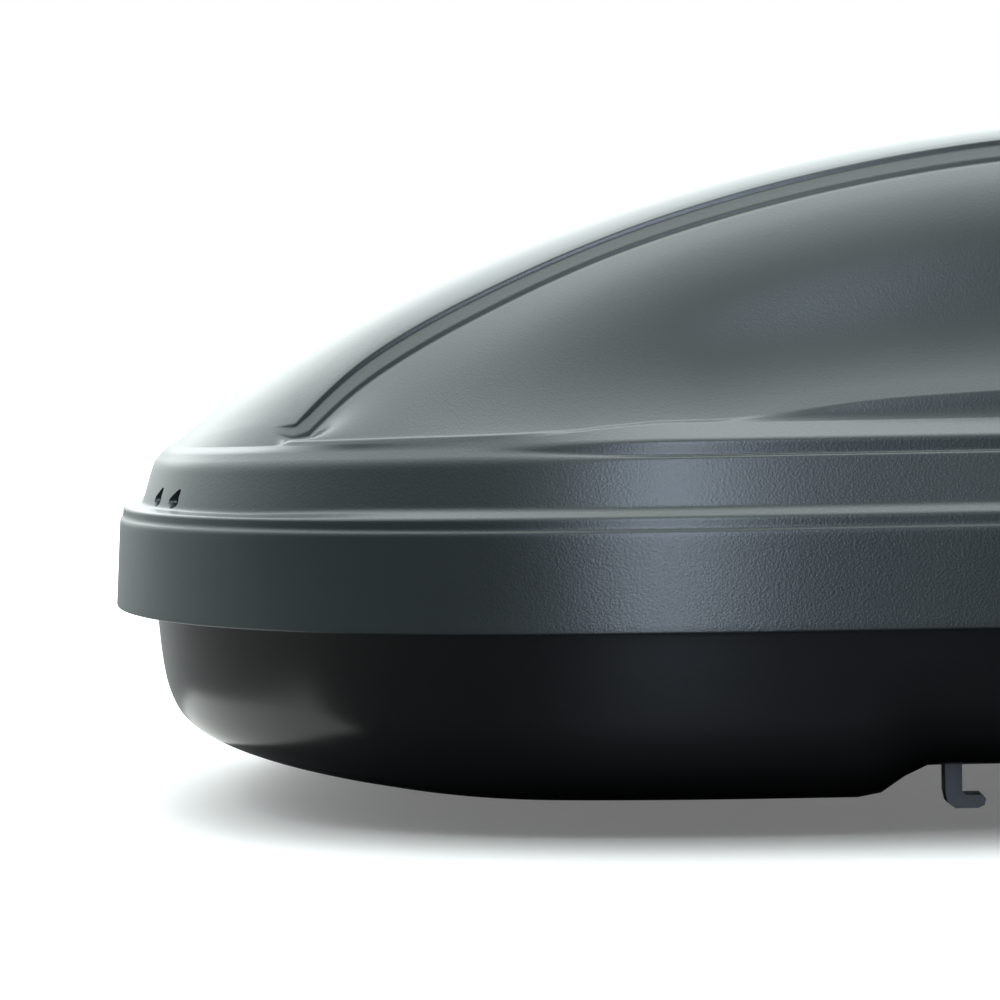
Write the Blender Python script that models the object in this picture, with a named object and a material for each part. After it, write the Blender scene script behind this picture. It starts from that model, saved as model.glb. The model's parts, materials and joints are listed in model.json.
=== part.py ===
"""A roof cargo box: a hinged lid over a deep base, with hinges, lid lifters, a side lock and bar clamps.

Metres, +Z up. The nose points to -X and the tail to +X. The lid opens on the -Y side and is hinged on
the +Y side. The origin is the middle of the flat deck, at the height where it rests on the roof bars.
"""

import math
from collections import namedtuple

import bmesh
import bpy
from mathutils import Matrix, Vector

# Driving dimensions
LENGTH = 1.750
HALF_WIDTH = 0.410
WALL = 0.004
GAP = 0.0003  # between pieces that touch

# Plan outline: a long rounded nose, straight sides and a blunter tail
NOSE_REACH = 0.474
TAIL_REACH = 0.250
NOSE_POWERS = (2.67, 2.61)
TAIL_POWERS = (2.8, 2.8)
NOSE_STEPS = 11
SIDE_STEPS = 9
TAIL_STEPS = 9
BELLY_BACK = (0.494, 0.534)  # distances behind the nose where the belly starts to rise and ends

# Heights and insets that the two shells share
SKIRT_BOTTOM = 0.091
SKIRT_TOP = 0.152
RISER_TOP = 0.161
BAND_FOOT = 0.1665
BAND_TOP = 0.197
LIP_TOP = 0.142
LIP_INSET = 0.013
FLANGE_HEIGHT = 0.104
WALL_TOP = 0.096
HOOD_INSET = 0.038
FLOOR_INSET = 0.080
BELLY_DEPTH = 0.0195

# Side lens: the recessed panel and the groove above it
LENS_START = 0.127  # distance behind the nose
LENS_END = 1.665
RIDGE_SIDE = 0.278
CROWN_PEAK = 0.850
HOOD_FOOT = 0.190
CROWN_RISE = 0.227
PANEL_FOOT = 0.2105
PANEL_CLIMB = 0.0205
PANEL_LINES = 4
GROOVE_DROP = 0.0153
GROOVE_WIDTH = 0.010

# Teardrop air vents at the nose's corners, above the first ledge
VENT_SIDES = (0.176, 0.211)
VENT_Z = 0.1682
VENT_SIZE = (0.017, 0.0090)
VENT_TAIL = (0.005, 0.0085)  # where the pointed end is, seen from the middle of the round end

# Hinges, on the +Y side
HINGE_Y = 0.403
HINGE_Z = 0.083
HINGE_PLACES = (-0.36, 0.10, 0.56)
HINGE_LENGTH = 0.060
KNUCKLE_RADIUS = 0.006
HINGE_PIN_RADIUS = 0.0025

# Lock and its rail, on the -Y side
LOCK_X = 0.10
LOCK_Z = 0.118
LOCK_RADIUS = 0.010
BARREL_RADIUS = 0.0125
CRANK_RADIUS = 0.007
CRANK_PIN_RADIUS = 0.0016
RAIL_TRAVEL = 2 * CRANK_RADIUS * math.sin(math.radians(45))
RAIL_FRONT = -0.36
RAIL_BACK = 0.56
RAIL_INSETS = (0.0076, 0.0096)
RAIL_HEIGHTS = (0.108, 0.132)
STRIKER_PLACES = (-0.32, 0.02, 0.52)
STRIKER_Z = 0.120
STRIKER_RADIUS = 0.0025
GUIDE_PLACES = (-0.24, -0.06, 0.24, 0.44)

# Lid lifters: a parallelogram whose corners in Y and Z are the hinge axis, two brackets and a knee
LIFTER_PLACES = (-0.310, 0.480)
BASE_PIVOT = (0.290, 0.040)
LID_PIVOT = (0.360, 0.202)
KNEE = (BASE_PIVOT[0] + LID_PIVOT[0] - HINGE_Y, BASE_PIVOT[1] + LID_PIVOT[1] - HINGE_Z)
ARM_HALF_WIDTH = 0.007
ARM_THICKNESS = 0.003
PIVOT_RADIUS = 0.003
PIVOT_HOLE = 0.0034
SPRING_LEG = 0.020

# Bar clamps
BAR_PLACES = (-0.265, 0.435)
CLAMP_Y = 0.220
CLAW_PIVOT_X = 0.049  # from the middle of the bar
CLAW_PIVOT_Z = 0.020
CLAW_WIDTH = 0.022
SLOT_NEAR = 0.040
SLOT_FAR = 0.067
SLOT_HALF_WIDTH = 0.013
PLATE_BOTTOM = WALL + GAP
PLATE_TOP = PLATE_BOTTOM + 0.002
HOUSING_HALF_LENGTH = 0.076
HOUSING_HALF_WIDTH = 0.025
HOUSING_HEIGHT = 0.032

# Luggage straps, on the floor
STRAP_PLACES = (-0.10, 0.20)
STRAP_WIDTH = 0.030
PULL_STRAP_X = 0.30

# Colours
CHARCOAL = (0.045, 0.055, 0.060)
BLACK = (0.012, 0.012, 0.013)
DARK_GREY = (0.05, 0.05, 0.055)
STEEL = (0.55, 0.56, 0.58)
ZINC = (0.42, 0.43, 0.45)
SPRING_GREY = (0.18, 0.18, 0.19)
WEBBING = (0.03, 0.03, 0.035)

Station = namedtuple("Station", "x y inward_x inward_y along blunt")


def clear_scene():
    for item in list(bpy.data.objects):
        bpy.data.objects.remove(item, do_unlink=True)


def material(name, colour, roughness, metallic):
    found = bpy.data.materials.get(name)
    if found:
        return found
    made = bpy.data.materials.new(name)
    made.use_nodes = True
    shader = made.node_tree.nodes["Principled BSDF"]
    shader.inputs["Base Color"].default_value = (*colour, 1.0)
    shader.inputs["Roughness"].default_value = roughness
    shader.inputs["Metallic"].default_value = metallic
    return made


def plastic(name, colour, roughness=0.45):
    return material(name, colour, roughness, 0.0)


def metal(name, colour, roughness=0.35):
    return material(name, colour, roughness, 1.0)


def smooth_step(value, start, end):
    share = min(max((value - start) / (end - start), 0.0), 1.0)
    return share * share * (3 - 2 * share)


# Small mesh tools


def finish(name, mesh, surface, round_angle=30):
    """A new object from a bmesh, with its normals facing out."""
    bmesh.ops.recalc_face_normals(mesh, faces=mesh.faces)
    data = bpy.data.meshes.new(name)
    mesh.to_mesh(data)
    mesh.free()
    data.shade_smooth()
    data.set_sharp_from_angle(angle=math.radians(round_angle))
    made = bpy.data.objects.new(name, data)
    bpy.context.scene.collection.objects.link(made)
    data.materials.append(surface)
    return made


def prism(name, outline, axis, start, end, surface):
    """A flat outline pushed along X, Y or Z. Its points are (Y, Z), (X, Z) or (X, Y)."""
    place = {
        "X": lambda a, b, c: (c, a, b),
        "Y": lambda a, b, c: (a, c, b),
        "Z": lambda a, b, c: (a, b, c),
    }[axis]
    mesh = bmesh.new()
    near = [mesh.verts.new(place(a, b, start)) for a, b in outline]
    far = [mesh.verts.new(place(a, b, end)) for a, b in outline]
    mesh.faces.new(near)
    mesh.faces.new(list(reversed(far)))
    for i in range(len(outline)):
        j = (i + 1) % len(outline)
        mesh.faces.new((near[i], near[j], far[j], far[i]))
    return finish(name, mesh, surface)


def box(name, low, high, surface):
    outline = [(low[0], low[1]), (high[0], low[1]), (high[0], high[1]), (low[0], high[1])]
    return prism(name, outline, "Z", low[2], high[2], surface)


def arc(centre, radius, first, last, steps):
    """Points on an arc, in degrees, both ends included."""
    angles = [math.radians(first + (last - first) * i / steps) for i in range(steps + 1)]
    return [(centre[0] + radius * math.cos(t), centre[1] + radius * math.sin(t)) for t in angles]


def circle(centre, radius, steps=16):
    return arc(centre, radius, 0, 360, steps)[:-1]


def stadium(first, last, radius, steps=6):
    """A bar with round ends, around two points."""
    turn = math.degrees(math.atan2(last[1] - first[1], last[0] - first[0]))
    return arc(last, radius, turn - 90, turn + 90, steps) + arc(first, radius, turn + 90, turn + 270, steps)


def rounded_rectangle(low, high, radius, steps=3):
    corners = (
        ((high[0] - radius, low[1] + radius), -90),
        ((high[0] - radius, high[1] - radius), 0),
        ((low[0] + radius, high[1] - radius), 90),
        ((low[0] + radius, low[1] + radius), 180),
    )
    return [point for centre, turn in corners for point in arc(centre, radius, turn, turn + 90, steps)]


def combine(target, operation, *tools):
    """Applies Booleans of the tools to the target, then removes the tools."""
    for tool in tools:
        modifier = target.modifiers.new("Boolean", "BOOLEAN")
        modifier.operation = operation
        modifier.solver = "EXACT"
        modifier.object = tool
    bpy.context.view_layer.update()
    graph = bpy.context.evaluated_depsgraph_get()
    result = bpy.data.meshes.new_from_object(target.evaluated_get(graph))
    target.modifiers.clear()
    target.data = result
    for tool in tools:
        bpy.data.objects.remove(tool, do_unlink=True)
    return target


def join(target, *tools):
    return combine(target, "UNION", *tools)


def cut(target, *tools):
    return combine(target, "DIFFERENCE", *tools)


def set_origin(target, point):
    """Moves an object's origin to a point on its joint's axis and leaves its shape where it is."""
    target.data.transform(Matrix.Translation(-Vector(point)))
    target.location = point
    return target


def y_inside(inset):
    """Y of a plane that lies this far in from the straight part of the -Y side."""
    return inset - HALF_WIDTH


# Plan outline


def quarter(reach, powers, steps):
    """A superellipse quarter as (distance towards the end, y, inward normal), from the end to the side."""
    rows = []
    for i in range(steps + 1):
        angle = math.pi / 2 * i / steps
        out = reach * abs(math.cos(angle)) ** (2 / powers[0])
        side = HALF_WIDTH * math.sin(angle) ** (2 / powers[1])
        slope_out = powers[0] * out ** (powers[0] - 1) / reach ** powers[0]
        slope_side = powers[1] * side ** (powers[1] - 1) / HALF_WIDTH ** powers[1]
        size = math.hypot(slope_out, slope_side)
        rows.append((out, side, slope_out / size, slope_side / size))
    return rows


def stations():
    """Points along the plan outline from the nose, down the -Y side, to the tail."""
    nose_centre = -LENGTH / 2 + NOSE_REACH
    tail_centre = LENGTH / 2 - TAIL_REACH
    rows = []
    for out, side, normal_out, normal_side in quarter(NOSE_REACH, NOSE_POWERS, NOSE_STEPS):
        rows.append((nose_centre - out, -side, normal_out, normal_side))
    for along in BELLY_BACK:
        rows.append((along - LENGTH / 2, -HALF_WIDTH, 0.0, 1.0))
    for i in range(1, SIDE_STEPS):
        x = nose_centre + (tail_centre - nose_centre) * i / SIDE_STEPS
        rows.append((x, -HALF_WIDTH, 0.0, 1.0))
    for out, side, normal_out, normal_side in reversed(quarter(TAIL_REACH, TAIL_POWERS, TAIL_STEPS)):
        rows.append((tail_centre + out, -side, -normal_out, normal_side))
    rows.sort()
    return [Station(x, y, nx, ny, x + LENGTH / 2, nx * nx) for x, y, nx, ny in rows]


def inset_point(station, inset, height):
    return (station.x + station.inward_x * inset, station.y + station.inward_y * inset, height)


# Shells: a skin is a stack of rings around the outline, closed across the middle by strips


def join_rings(mesh, first, second):
    for i in range(len(first)):
        j = (i + 1) % len(first)
        mesh.faces.new((first[i], first[j], second[j], second[i]))


def join_strip(mesh, first, second):
    if len(first) == 1:
        for a, b in zip(second, second[1:]):
            mesh.faces.new((first[0], a, b))
    elif len(second) == 1:
        for a, b in zip(first, first[1:]):
            mesh.faces.new((a, second[0], b))
    else:
        for i in range(len(first) - 1):
            mesh.faces.new((first[i], second[i], second[i + 1], first[i + 1]))


def add_skin(mesh, rows, sections):
    """Rows hold the -Y half of each ring; sections run from the last ring to the centre line."""
    rings = []
    for row in rows:
        ring = [mesh.verts.new(point) for point in row]
        ring += [mesh.verts.new((x, -y, z)) for x, y, z in reversed(row[1:-1])]
        rings.append(ring)
    for first, second in zip(rings, rings[1:]):
        join_rings(mesh, first, second)
    last = rings[-1]
    lines = [[last[0]]]
    for i, half in enumerate(sections, start=1):
        near = [mesh.verts.new(point) for point in half]
        far = [mesh.verts.new((x, -y, z)) for x, y, z in reversed(half[:-1])]
        lines.append([last[i], *near, *far, last[len(last) - i]])
    lines.append([last[len(last) // 2]])
    for first, second in zip(lines, lines[1:]):
        join_strip(mesh, first, second)
    return rings[0]


def shell(name, places, outer_profile, outer_section, inner_profile, inner_section, surface):
    mesh = bmesh.new()
    edges = []
    for profile, section in ((outer_profile, outer_section), (inner_profile, inner_section)):
        stacks = [profile(place) for place in places]
        rows = [
            [inset_point(place, *stack[level]) for place, stack in zip(places, stacks)]
            for level in range(len(stacks[0]))
        ]
        sections = [section(place, point) for place, point in zip(places[1:-1], rows[-1][1:-1])]
        edges.append(add_skin(mesh, rows, sections))
    join_rings(mesh, *edges)
    return finish(name, mesh, surface, 35)


# Lid


def shoulder(along):
    """0 at the nose and the tail, 1 where the second step and its ledge are full."""
    return smooth_step(along, 0.240, 0.380) * (1 - smooth_step(along, 1.420, 1.560))


def pinch(along):
    """How much narrower the upper ledge is behind the nose, before the second step starts."""
    return 0.008 * smooth_step(along, 0.06, 0.17) * (1 - smooth_step(along, 0.26, 0.40))


def skirt_bottom(place):
    """The skirt is a little shorter across the nose and the tail."""
    return SKIRT_BOTTOM + 0.002 * place.blunt**2


def band_foot(place):
    """Height where the leaning band starts; lower at the nose and the tail, where the ledge is flat."""
    return BAND_FOOT - 0.0040 * smooth_step(place.blunt, 0.05, 0.55)


def lid_outer_profile(place):
    """Skirt, first step, ledge, leaning band, second step and upper ledge, as (inset, height)."""
    pull = 0.007 * place.blunt
    band_top = BAND_TOP - 0.0065 * place.blunt
    step = shoulder(place.along)
    return [
        (0.0, skirt_bottom(place)),
        (0.0035, SKIRT_TOP),
        (0.0055, SKIRT_TOP + 0.0025),
        (0.0060, RISER_TOP),
        (0.0120 + pull, band_foot(place)),
        (0.0205 + pull, band_top),
        (0.0248 + pull - 0.0017 * step, band_top + 0.0051 - 0.0041 * step),
        (0.0271 + pull - 0.0034 * step, band_top + 0.0079 + 0.0021 * step),
        (HOOD_INSET - pinch(place.along), band_top + 0.0113 + 0.0092 * step),
    ]


def lid_inner_profile(place):
    pull = 0.007 * place.blunt
    outer = lid_outer_profile(place)
    step = shoulder(place.along)
    return [
        (0.0035, skirt_bottom(place)),
        (0.0072, SKIRT_TOP - 0.004),
        (0.0098, RISER_TOP - 0.003),
        (0.0160 + pull, band_foot(place) - 0.0035),
        (0.0250 + pull, outer[5][1] - 0.003),
        (0.0300 + pull - 0.0035 * step, outer[7][1] - 0.003),
        (outer[8][0] + 0.003, outer[8][1] - WALL),
    ]


def crown_height(along):
    """Height of the hood on the centre line."""
    if along < CROWN_PEAK:
        reach = min((CROWN_PEAK - along) / 0.820, 1.0)
        return HOOD_FOOT + CROWN_RISE * (1 - reach**2.6) ** (1 / 1.1)
    reach = min((along - CROWN_PEAK) / 0.870, 1.0)
    return HOOD_FOOT + CROWN_RISE * (1 - reach**3.0) ** (1 / 1.4)


def hood_height(along, y, edge_y, edge_z):
    """Height of the crowned hood, which drops to its edge at the sides."""
    power = 3.8 + 2.7 * smooth_step(along, 0.03, 0.20) + 2.1 * smooth_step(along, 0.25, 0.60)
    crown = max(crown_height(along), edge_z)
    reach = min(abs(y) / (edge_y - pinch(along)), 1.0)
    return crown - (crown - edge_z) * reach**power


def bezier(points, share):
    a, b, c, d = points
    rest = 1 - share
    return tuple(
        rest**3 * a[i] + 3 * rest**2 * share * b[i] + 3 * rest * share**2 * c[i] + share**3 * d[i]
        for i in range(2)
    )


def panel_curve(top, bottom, share):
    """The side panel's section: it rolls over at the top, is steep half way and flares at the foot."""
    pull = 0.40 * math.dist(top, bottom)
    leave = (top[0] + pull * math.cos(math.radians(40)), top[1] - pull * math.sin(math.radians(40)))
    arrive = (bottom[0] - pull * math.cos(math.radians(45)), bottom[1] + pull * math.sin(math.radians(45)))
    return bezier((bottom, arrive, leave, top), share)


def panel_foot(along):
    """Height of the line where the side panel starts; it climbs from the nose towards the middle."""
    climb = smooth_step(along, 0.19, 0.70) * (1 - smooth_step(along, 1.25, LENS_END))
    return PANEL_FOOT + PANEL_CLIMB * climb - 0.0030 * (1 - smooth_step(along, 0.10, 0.23))


def hood_half(along, edge_y, edge_z, has_step):
    """Half a hood section as (distance from the centre line, height), from its edge to the middle."""
    openness = smooth_step(along, LENS_START - 0.003, LENS_START + 0.040)
    openness *= 1 - smooth_step(along, LENS_END - 0.040, LENS_END + 0.003)
    ridge = min(RIDGE_SIDE, edge_y - pinch(along) - 0.012)
    ridge_z = hood_height(along, ridge, edge_y, edge_z)
    foot = (edge_y - 0.0020, max(panel_foot(along), edge_z + 0.0008))
    step = 0.0005 + 0.0050 * smooth_step(along, 0.40, 0.52) * (1 - smooth_step(along, 1.30, 1.45))
    step_top = (foot[0] - 0.0015, foot[1] + step)
    deep = 1 + 0.25 * (1 - smooth_step(along, 0.15, 0.36))
    size = min(deep, max(ridge_z - step_top[1], 0.002) / GROOVE_DROP)
    groove_foot = (ridge + GROOVE_WIDTH * size, ridge_z - GROOVE_DROP * size)
    carved = [foot] if has_step else []
    carved += [panel_curve(groove_foot, step_top, i / PANEL_LINES) for i in range(PANEL_LINES + 1)]
    carved += [
        (ridge + 0.0080 * size, ridge_z - 0.0140 * size),
        (ridge + 0.0070 * size, ridge_z - 0.0108 * size),
        (ridge + 0.0004 * size, ridge_z - 0.0034 * size),
        (ridge, ridge_z),
    ]
    count = len(carved)
    plain_sides = [edge_y - (edge_y - ridge) * (i + 1) / count for i in range(count)]
    plain = [(y, hood_height(along, y, edge_y, edge_z)) for y in plain_sides]
    half = [
        (p[0] + (c[0] - p[0]) * openness, p[1] + (c[1] - p[1]) * openness) for p, c in zip(plain, carved)
    ]
    for share in (0.85, 0.60, 0.30, 0.0):
        y = ridge * share
        half.append((y, hood_height(along, y, edge_y, edge_z)))
    return half


def lid_outer_section(place, edge):
    half = hood_half(edge[0] + LENGTH / 2, -edge[1], edge[2], True)
    return [(edge[0], -y, z) for y, z in half]


def lid_inner_section(place, edge):
    """The hood's inside: the outer section moved in by the wall."""
    half = hood_half(edge[0] + LENGTH / 2, -edge[1] + 0.002, edge[2] + WALL, False)
    moved = []
    for i, (y, z) in enumerate(half):
        before = half[i - 1] if i else (-edge[1] + 0.004, edge[2])
        after = half[i + 1] if i + 1 < len(half) else (-half[i - 1][0], half[i - 1][1])
        run, rise = before[0] - after[0], after[1] - before[1]
        size = math.hypot(run, rise)
        down = 1.15 * WALL
        moved.append((edge[0], -max(y - down * rise / size, 0.0), z - down * run / size))
    return moved


def teardrop(side, middle, height):
    """A round end with a narrower tail above it that leans outwards, as (y, z)."""
    half, rise = VENT_SIZE[0] / 2, VENT_SIZE[1] / 2
    points = []
    for i in range(11):
        angle = math.radians(150 + 24 * i)
        points.append((side * (middle + half * math.cos(angle)), height + rise * math.sin(angle)))
    tip = middle + VENT_TAIL[0]
    top = height + VENT_TAIL[1]
    points += [(side * (tip + 0.0026), top - 0.001), (side * tip, top), (side * (tip - 0.0026), top - 0.001)]
    return points


def make_lid(places):
    surface = plastic("lid_plastic", CHARCOAL, 0.42)
    lid = shell(
        "lid_shell",
        places,
        lid_outer_profile,
        lid_outer_section,
        lid_inner_profile,
        lid_inner_section,
        surface,
    )
    outline = circle((LOCK_X, LOCK_Z), BARREL_RADIUS + GAP, 24)
    cut(lid, prism("lock_hole", outline, "Y", -0.5, -0.35, surface))
    for middle in VENT_SIDES:
        for side in (-1, 1):
            outline = teardrop(side, middle, VENT_Z)
            cut(lid, prism("vent", outline, "X", -LENGTH / 2 + 0.015, -LENGTH / 2 + 0.085, surface))
    return set_origin(lid, (0.0, HINGE_Y, HINGE_Z))


# Base


def belly(along):
    """1 where the base hangs lowest, in front of the front bar, and 0 on the flat deck."""
    return 1 - smooth_step(along, *BELLY_BACK)


def floor_height(along):
    """Height of the underside: it curves down from the nose, is flat on the deck and lifts at the tail."""
    reach = min(max((0.300 - along) / 0.240, 0.0), 1.0)
    return belly(along) * (0.0315 * reach**2 - BELLY_DEPTH) + 0.014 * smooth_step(along, 1.430, 1.690)


def floor_edge(place):
    """Height of the underside where the corner radius ends."""
    return floor_height(place.along + place.inward_x * FLOOR_INSET)


def base_outer_profile(place):
    """Lip, flange, wall and the large corner radius, as (inset, height)."""
    edge = floor_edge(place)
    return [
        (LIP_INSET, LIP_TOP),
        (LIP_INSET, FLANGE_HEIGHT),
        (0.0250, WALL_TOP + 0.0015),
        (0.0275, WALL_TOP - 0.006),
        (0.0300, 0.060),
        (0.0335, 0.034 + 0.6 * edge),
        (0.0410, 0.015 + 0.8 * edge),
        (0.0540, 0.0045 + 0.95 * edge),
        (FLOOR_INSET, edge),
    ]


def base_inner_profile(place):
    edge = floor_edge(place)
    return [
        (LIP_INSET + WALL, LIP_TOP),
        (LIP_INSET + WALL, FLANGE_HEIGHT + 0.003),
        (0.0285, WALL_TOP + 0.005),
        (0.0315, WALL_TOP - 0.006),
        (0.0340, 0.060),
        (0.0375, 0.0355 + 0.6 * edge),
        (0.0445, 0.0175 + 0.8 * edge),
        (0.0560, 0.0083 + 0.95 * edge),
        (FLOOR_INSET, edge + WALL),
    ]


def floor_section(edge, lift):
    """The floor from its edge to the centre line; the belly sags a little more in the middle."""
    half = []
    along = edge[0] + LENGTH / 2
    for share in (0.93, 0.82, 0.65, 0.35, 0.0):
        sag = 0.002 * belly(along) * (1 - share**4)
        half.append((edge[0], edge[1] * share, floor_height(along) - sag + lift))
    return half


def base_outer_section(place, edge):
    return floor_section(edge, 0.0)


def base_inner_section(place, edge):
    return floor_section(edge, WALL)


def each_claw():
    """Bar number, -1 or +1 for the side of the box, and -1 or +1 for the side of the bar."""
    return [(bar, side, end) for bar in range(len(BAR_PLACES)) for side in (-1, 1) for end in (-1, 1)]


def slot_box(bar, side, end, low, high):
    x = BAR_PLACES[bar]
    reach = sorted((x + end * SLOT_NEAR, x + end * SLOT_FAR))
    middle = side * CLAMP_Y
    return box(
        "slot",
        (reach[0], middle - SLOT_HALF_WIDTH, low),
        (reach[1], middle + SLOT_HALF_WIDTH, high),
        plastic("base_plastic", BLACK),
    )


def make_base(places):
    base = shell(
        "base_shell",
        places,
        base_outer_profile,
        base_outer_section,
        base_inner_profile,
        base_inner_section,
        plastic("base_plastic", BLACK, 0.35),
    )
    cut(base, *(slot_box(*claw, -0.010, 0.020) for claw in each_claw()))
    return base


def make_floor_plates():
    """Steel plates that spread the clamps' load over the deck."""
    for bar, name in enumerate(("front", "rear")):
        x = BAR_PLACES[bar]
        outline = rounded_rectangle((x - 0.075, -0.318), (x + 0.075, 0.318), 0.012)
        plate = prism(f"floor_plate_{name}", outline, "Z", PLATE_BOTTOM, PLATE_TOP, metal("zinc_plate", ZINC))
        cut(plate, *(slot_box(*claw, 0.0, 0.010) for claw in each_claw() if claw[0] == bar))


# Hinges


def skirt_inside(height):
    """Inset of the skirt's inner face at this height."""
    share = (height - SKIRT_BOTTOM) / (SKIRT_TOP - 0.004 - SKIRT_BOTTOM)
    return 0.0035 + 0.0037 * share


def hinge_lid_leaf(name, x):
    steel = metal("hinge_steel", STEEL)
    heights = (HINGE_Z + 0.0035, HINGE_Z + 0.015, HINGE_Z + 0.055)
    near = [(HALF_WIDTH - skirt_inside(z) - GAP, z) for z in heights[1:]]
    outline = [(HINGE_Y + 0.0012, heights[0]), (near[0][0], heights[1]), near[1]]
    outline += [(y - 0.002, z) for y, z in reversed(outline)]
    half = HINGE_LENGTH / 2
    leaf = prism(name, outline, "X", x - half, x + half, steel)
    neck = box(
        "neck", (x - half - 1, HINGE_Y - 0.02, 0.0), (x - 0.0105, HINGE_Y + 0.02, HINGE_Z + 0.0085), steel
    )
    other = box(
        "neck", (x + 0.0105, HINGE_Y - 0.02, 0.0), (x + half + 1, HINGE_Y + 0.02, HINGE_Z + 0.0085), steel
    )
    cut(leaf, neck, other)
    knuckle = prism("knuckle", circle((HINGE_Y, HINGE_Z), KNUCKLE_RADIUS), "X", x - 0.0105, x + 0.0105, steel)
    join(leaf, knuckle)
    return cut(leaf, hinge_bore(x))


def hinge_bore(x):
    outline = circle((HINGE_Y, HINGE_Z), HINGE_PIN_RADIUS + 0.0003)
    return prism("bore", outline, "X", x - 0.04, x + 0.04, metal("hinge_steel", STEEL))


def hinge_base_leaf(name, x):
    steel = metal("hinge_steel", STEEL)
    wall_y = HALF_WIDTH - 0.0275 + 0.0008
    top = HINGE_Z - 0.004
    outline = [
        (wall_y, HINGE_Z - 0.029),
        (wall_y + 0.002, HINGE_Z - 0.029),
        (wall_y + 0.002, top - 0.0020),
        (HINGE_Y, top - 0.0020),
        (HINGE_Y, top),
        (wall_y, top),
    ]
    half = HINGE_LENGTH / 2
    leaf = prism(name, outline, "X", x - half, x + half, steel)
    middle = box("middle", (x - 0.0112, wall_y + 0.004, 0.0), (x + 0.0112, 0.5, 0.2), steel)
    cut(leaf, middle)
    knuckles = [
        prism("knuckle", circle((HINGE_Y, HINGE_Z), KNUCKLE_RADIUS), "X", *sorted(ends), steel)
        for ends in ((x + 0.0112, x + half), (x - 0.0112, x - half))
    ]
    join(leaf, *knuckles)
    return cut(leaf, hinge_bore(x))


def hinge_pin(name, x):
    steel = metal("pin_steel", STEEL, 0.25)
    half = HINGE_LENGTH / 2
    outline = circle((HINGE_Y, HINGE_Z), HINGE_PIN_RADIUS)
    pin = prism(name, outline, "X", x - half - 0.003, x + half + 0.001, steel)
    head = prism("head", circle((HINGE_Y, HINGE_Z), 0.0042), "X", x - half - 0.003, x - half - GAP, steel)
    return join(pin, head)


def make_hinges():
    for x, name in zip(HINGE_PLACES, ("front", "middle", "rear")):
        set_origin(hinge_lid_leaf(f"hinge_lid_leaf_{name}", x), (x, HINGE_Y, HINGE_Z))
        hinge_base_leaf(f"hinge_base_leaf_{name}", x)
        hinge_pin(f"hinge_pin_{name}", x)


# Lock


def make_lock():
    black = plastic("lock_plastic", DARK_GREY, 0.4)
    chrome = metal("lock_metal", STEEL, 0.2)
    flange = rounded_rectangle((LOCK_X - 0.030, LOCK_Z - 0.015), (LOCK_X + 0.030, LOCK_Z + 0.015), 0.012)
    housing = prism("lock_housing", flange, "Y", y_inside(-0.0040), y_inside(0.0001), black)
    barrel = prism("barrel", circle((LOCK_X, LOCK_Z), BARREL_RADIUS, 24), "Y", y_inside(-0.002), y_inside(0.0066), black)
    join(housing, barrel)
    bore = prism("bore", circle((LOCK_X, LOCK_Z), LOCK_RADIUS + GAP, 24), "Y", -0.5, -0.3, black)
    cut(housing, bore)

    cylinder = prism(
        "lock_cylinder", circle((LOCK_X, LOCK_Z), LOCK_RADIUS, 24), "Y", y_inside(-0.0055), y_inside(0.0070), chrome
    )
    turn = math.radians(135)
    crank = (LOCK_X + CRANK_RADIUS * math.cos(turn), LOCK_Z + CRANK_RADIUS * math.sin(turn))
    join(cylinder, prism("crank", circle(crank, CRANK_PIN_RADIUS, 12), "Y", y_inside(0.006), y_inside(0.0103), chrome))
    keyway = box(
        "keyway",
        (LOCK_X - 0.0010, y_inside(-0.0065), LOCK_Z - 0.0040),
        (LOCK_X + 0.0010, y_inside(0.0030), LOCK_Z + 0.0040),
        chrome,
    )
    cut(cylinder, keyway)
    set_origin(cylinder, (LOCK_X, -HALF_WIDTH, LOCK_Z))
    make_key(chrome)
    make_rail(crank[0])


def make_key(surface):
    """A short key whose blade fills the keyway and whose bow stands outside."""
    blade = box(
        "key",
        (LOCK_X - 0.0007, y_inside(-0.0120), LOCK_Z - 0.0034),
        (LOCK_X + 0.0007, y_inside(0.0026), LOCK_Z + 0.0034),
        surface,
    )
    bow = prism(
        "bow",
        rounded_rectangle((y_inside(-0.0260), LOCK_Z - 0.011), (y_inside(-0.0095), LOCK_Z + 0.011), 0.005),
        "X",
        LOCK_X - 0.0015,
        LOCK_X + 0.0015,
        surface,
    )
    return join(blade, bow)


def make_rail(crank_x):
    """The bar that the lock slides. Each notch lets a striker in from below, then holds it."""
    steel = metal("rail_steel", ZINC)
    insets = [y_inside(inset) for inset in RAIL_INSETS]
    outline = rounded_rectangle((RAIL_FRONT, RAIL_HEIGHTS[0]), (RAIL_BACK, RAIL_HEIGHTS[1]), 0.003)
    rail = prism("lock_rail", outline, "Y", *insets, steel)
    cutters = []
    for x in STRIKER_PLACES:
        right = x + STRIKER_RADIUS + 0.0013
        left = x - STRIKER_RADIUS - 0.0013
        notch = [
            (right + 0.003, RAIL_HEIGHTS[0] - 0.002),
            (right, RAIL_HEIGHTS[0] + 0.004),
            (right, STRIKER_Z + 0.0040),
            (left - RAIL_TRAVEL, STRIKER_Z + 0.0040),
            (left - RAIL_TRAVEL, STRIKER_Z - 0.0040),
            (left, STRIKER_Z - 0.0040),
            (left - 0.003, RAIL_HEIGHTS[0] - 0.002),
        ]
        cutters.append(prism("notch", notch, "Y", -0.42, -0.38, steel))
    slot_half = CRANK_PIN_RADIUS + 0.0007
    slot = rounded_rectangle((crank_x - slot_half, LOCK_Z + 0.0023), (crank_x + slot_half, LOCK_Z + 0.0098), 0.002)
    cutters.append(prism("slot", slot, "Y", -0.42, -0.38, steel))
    return cut(rail, *cutters)


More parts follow.
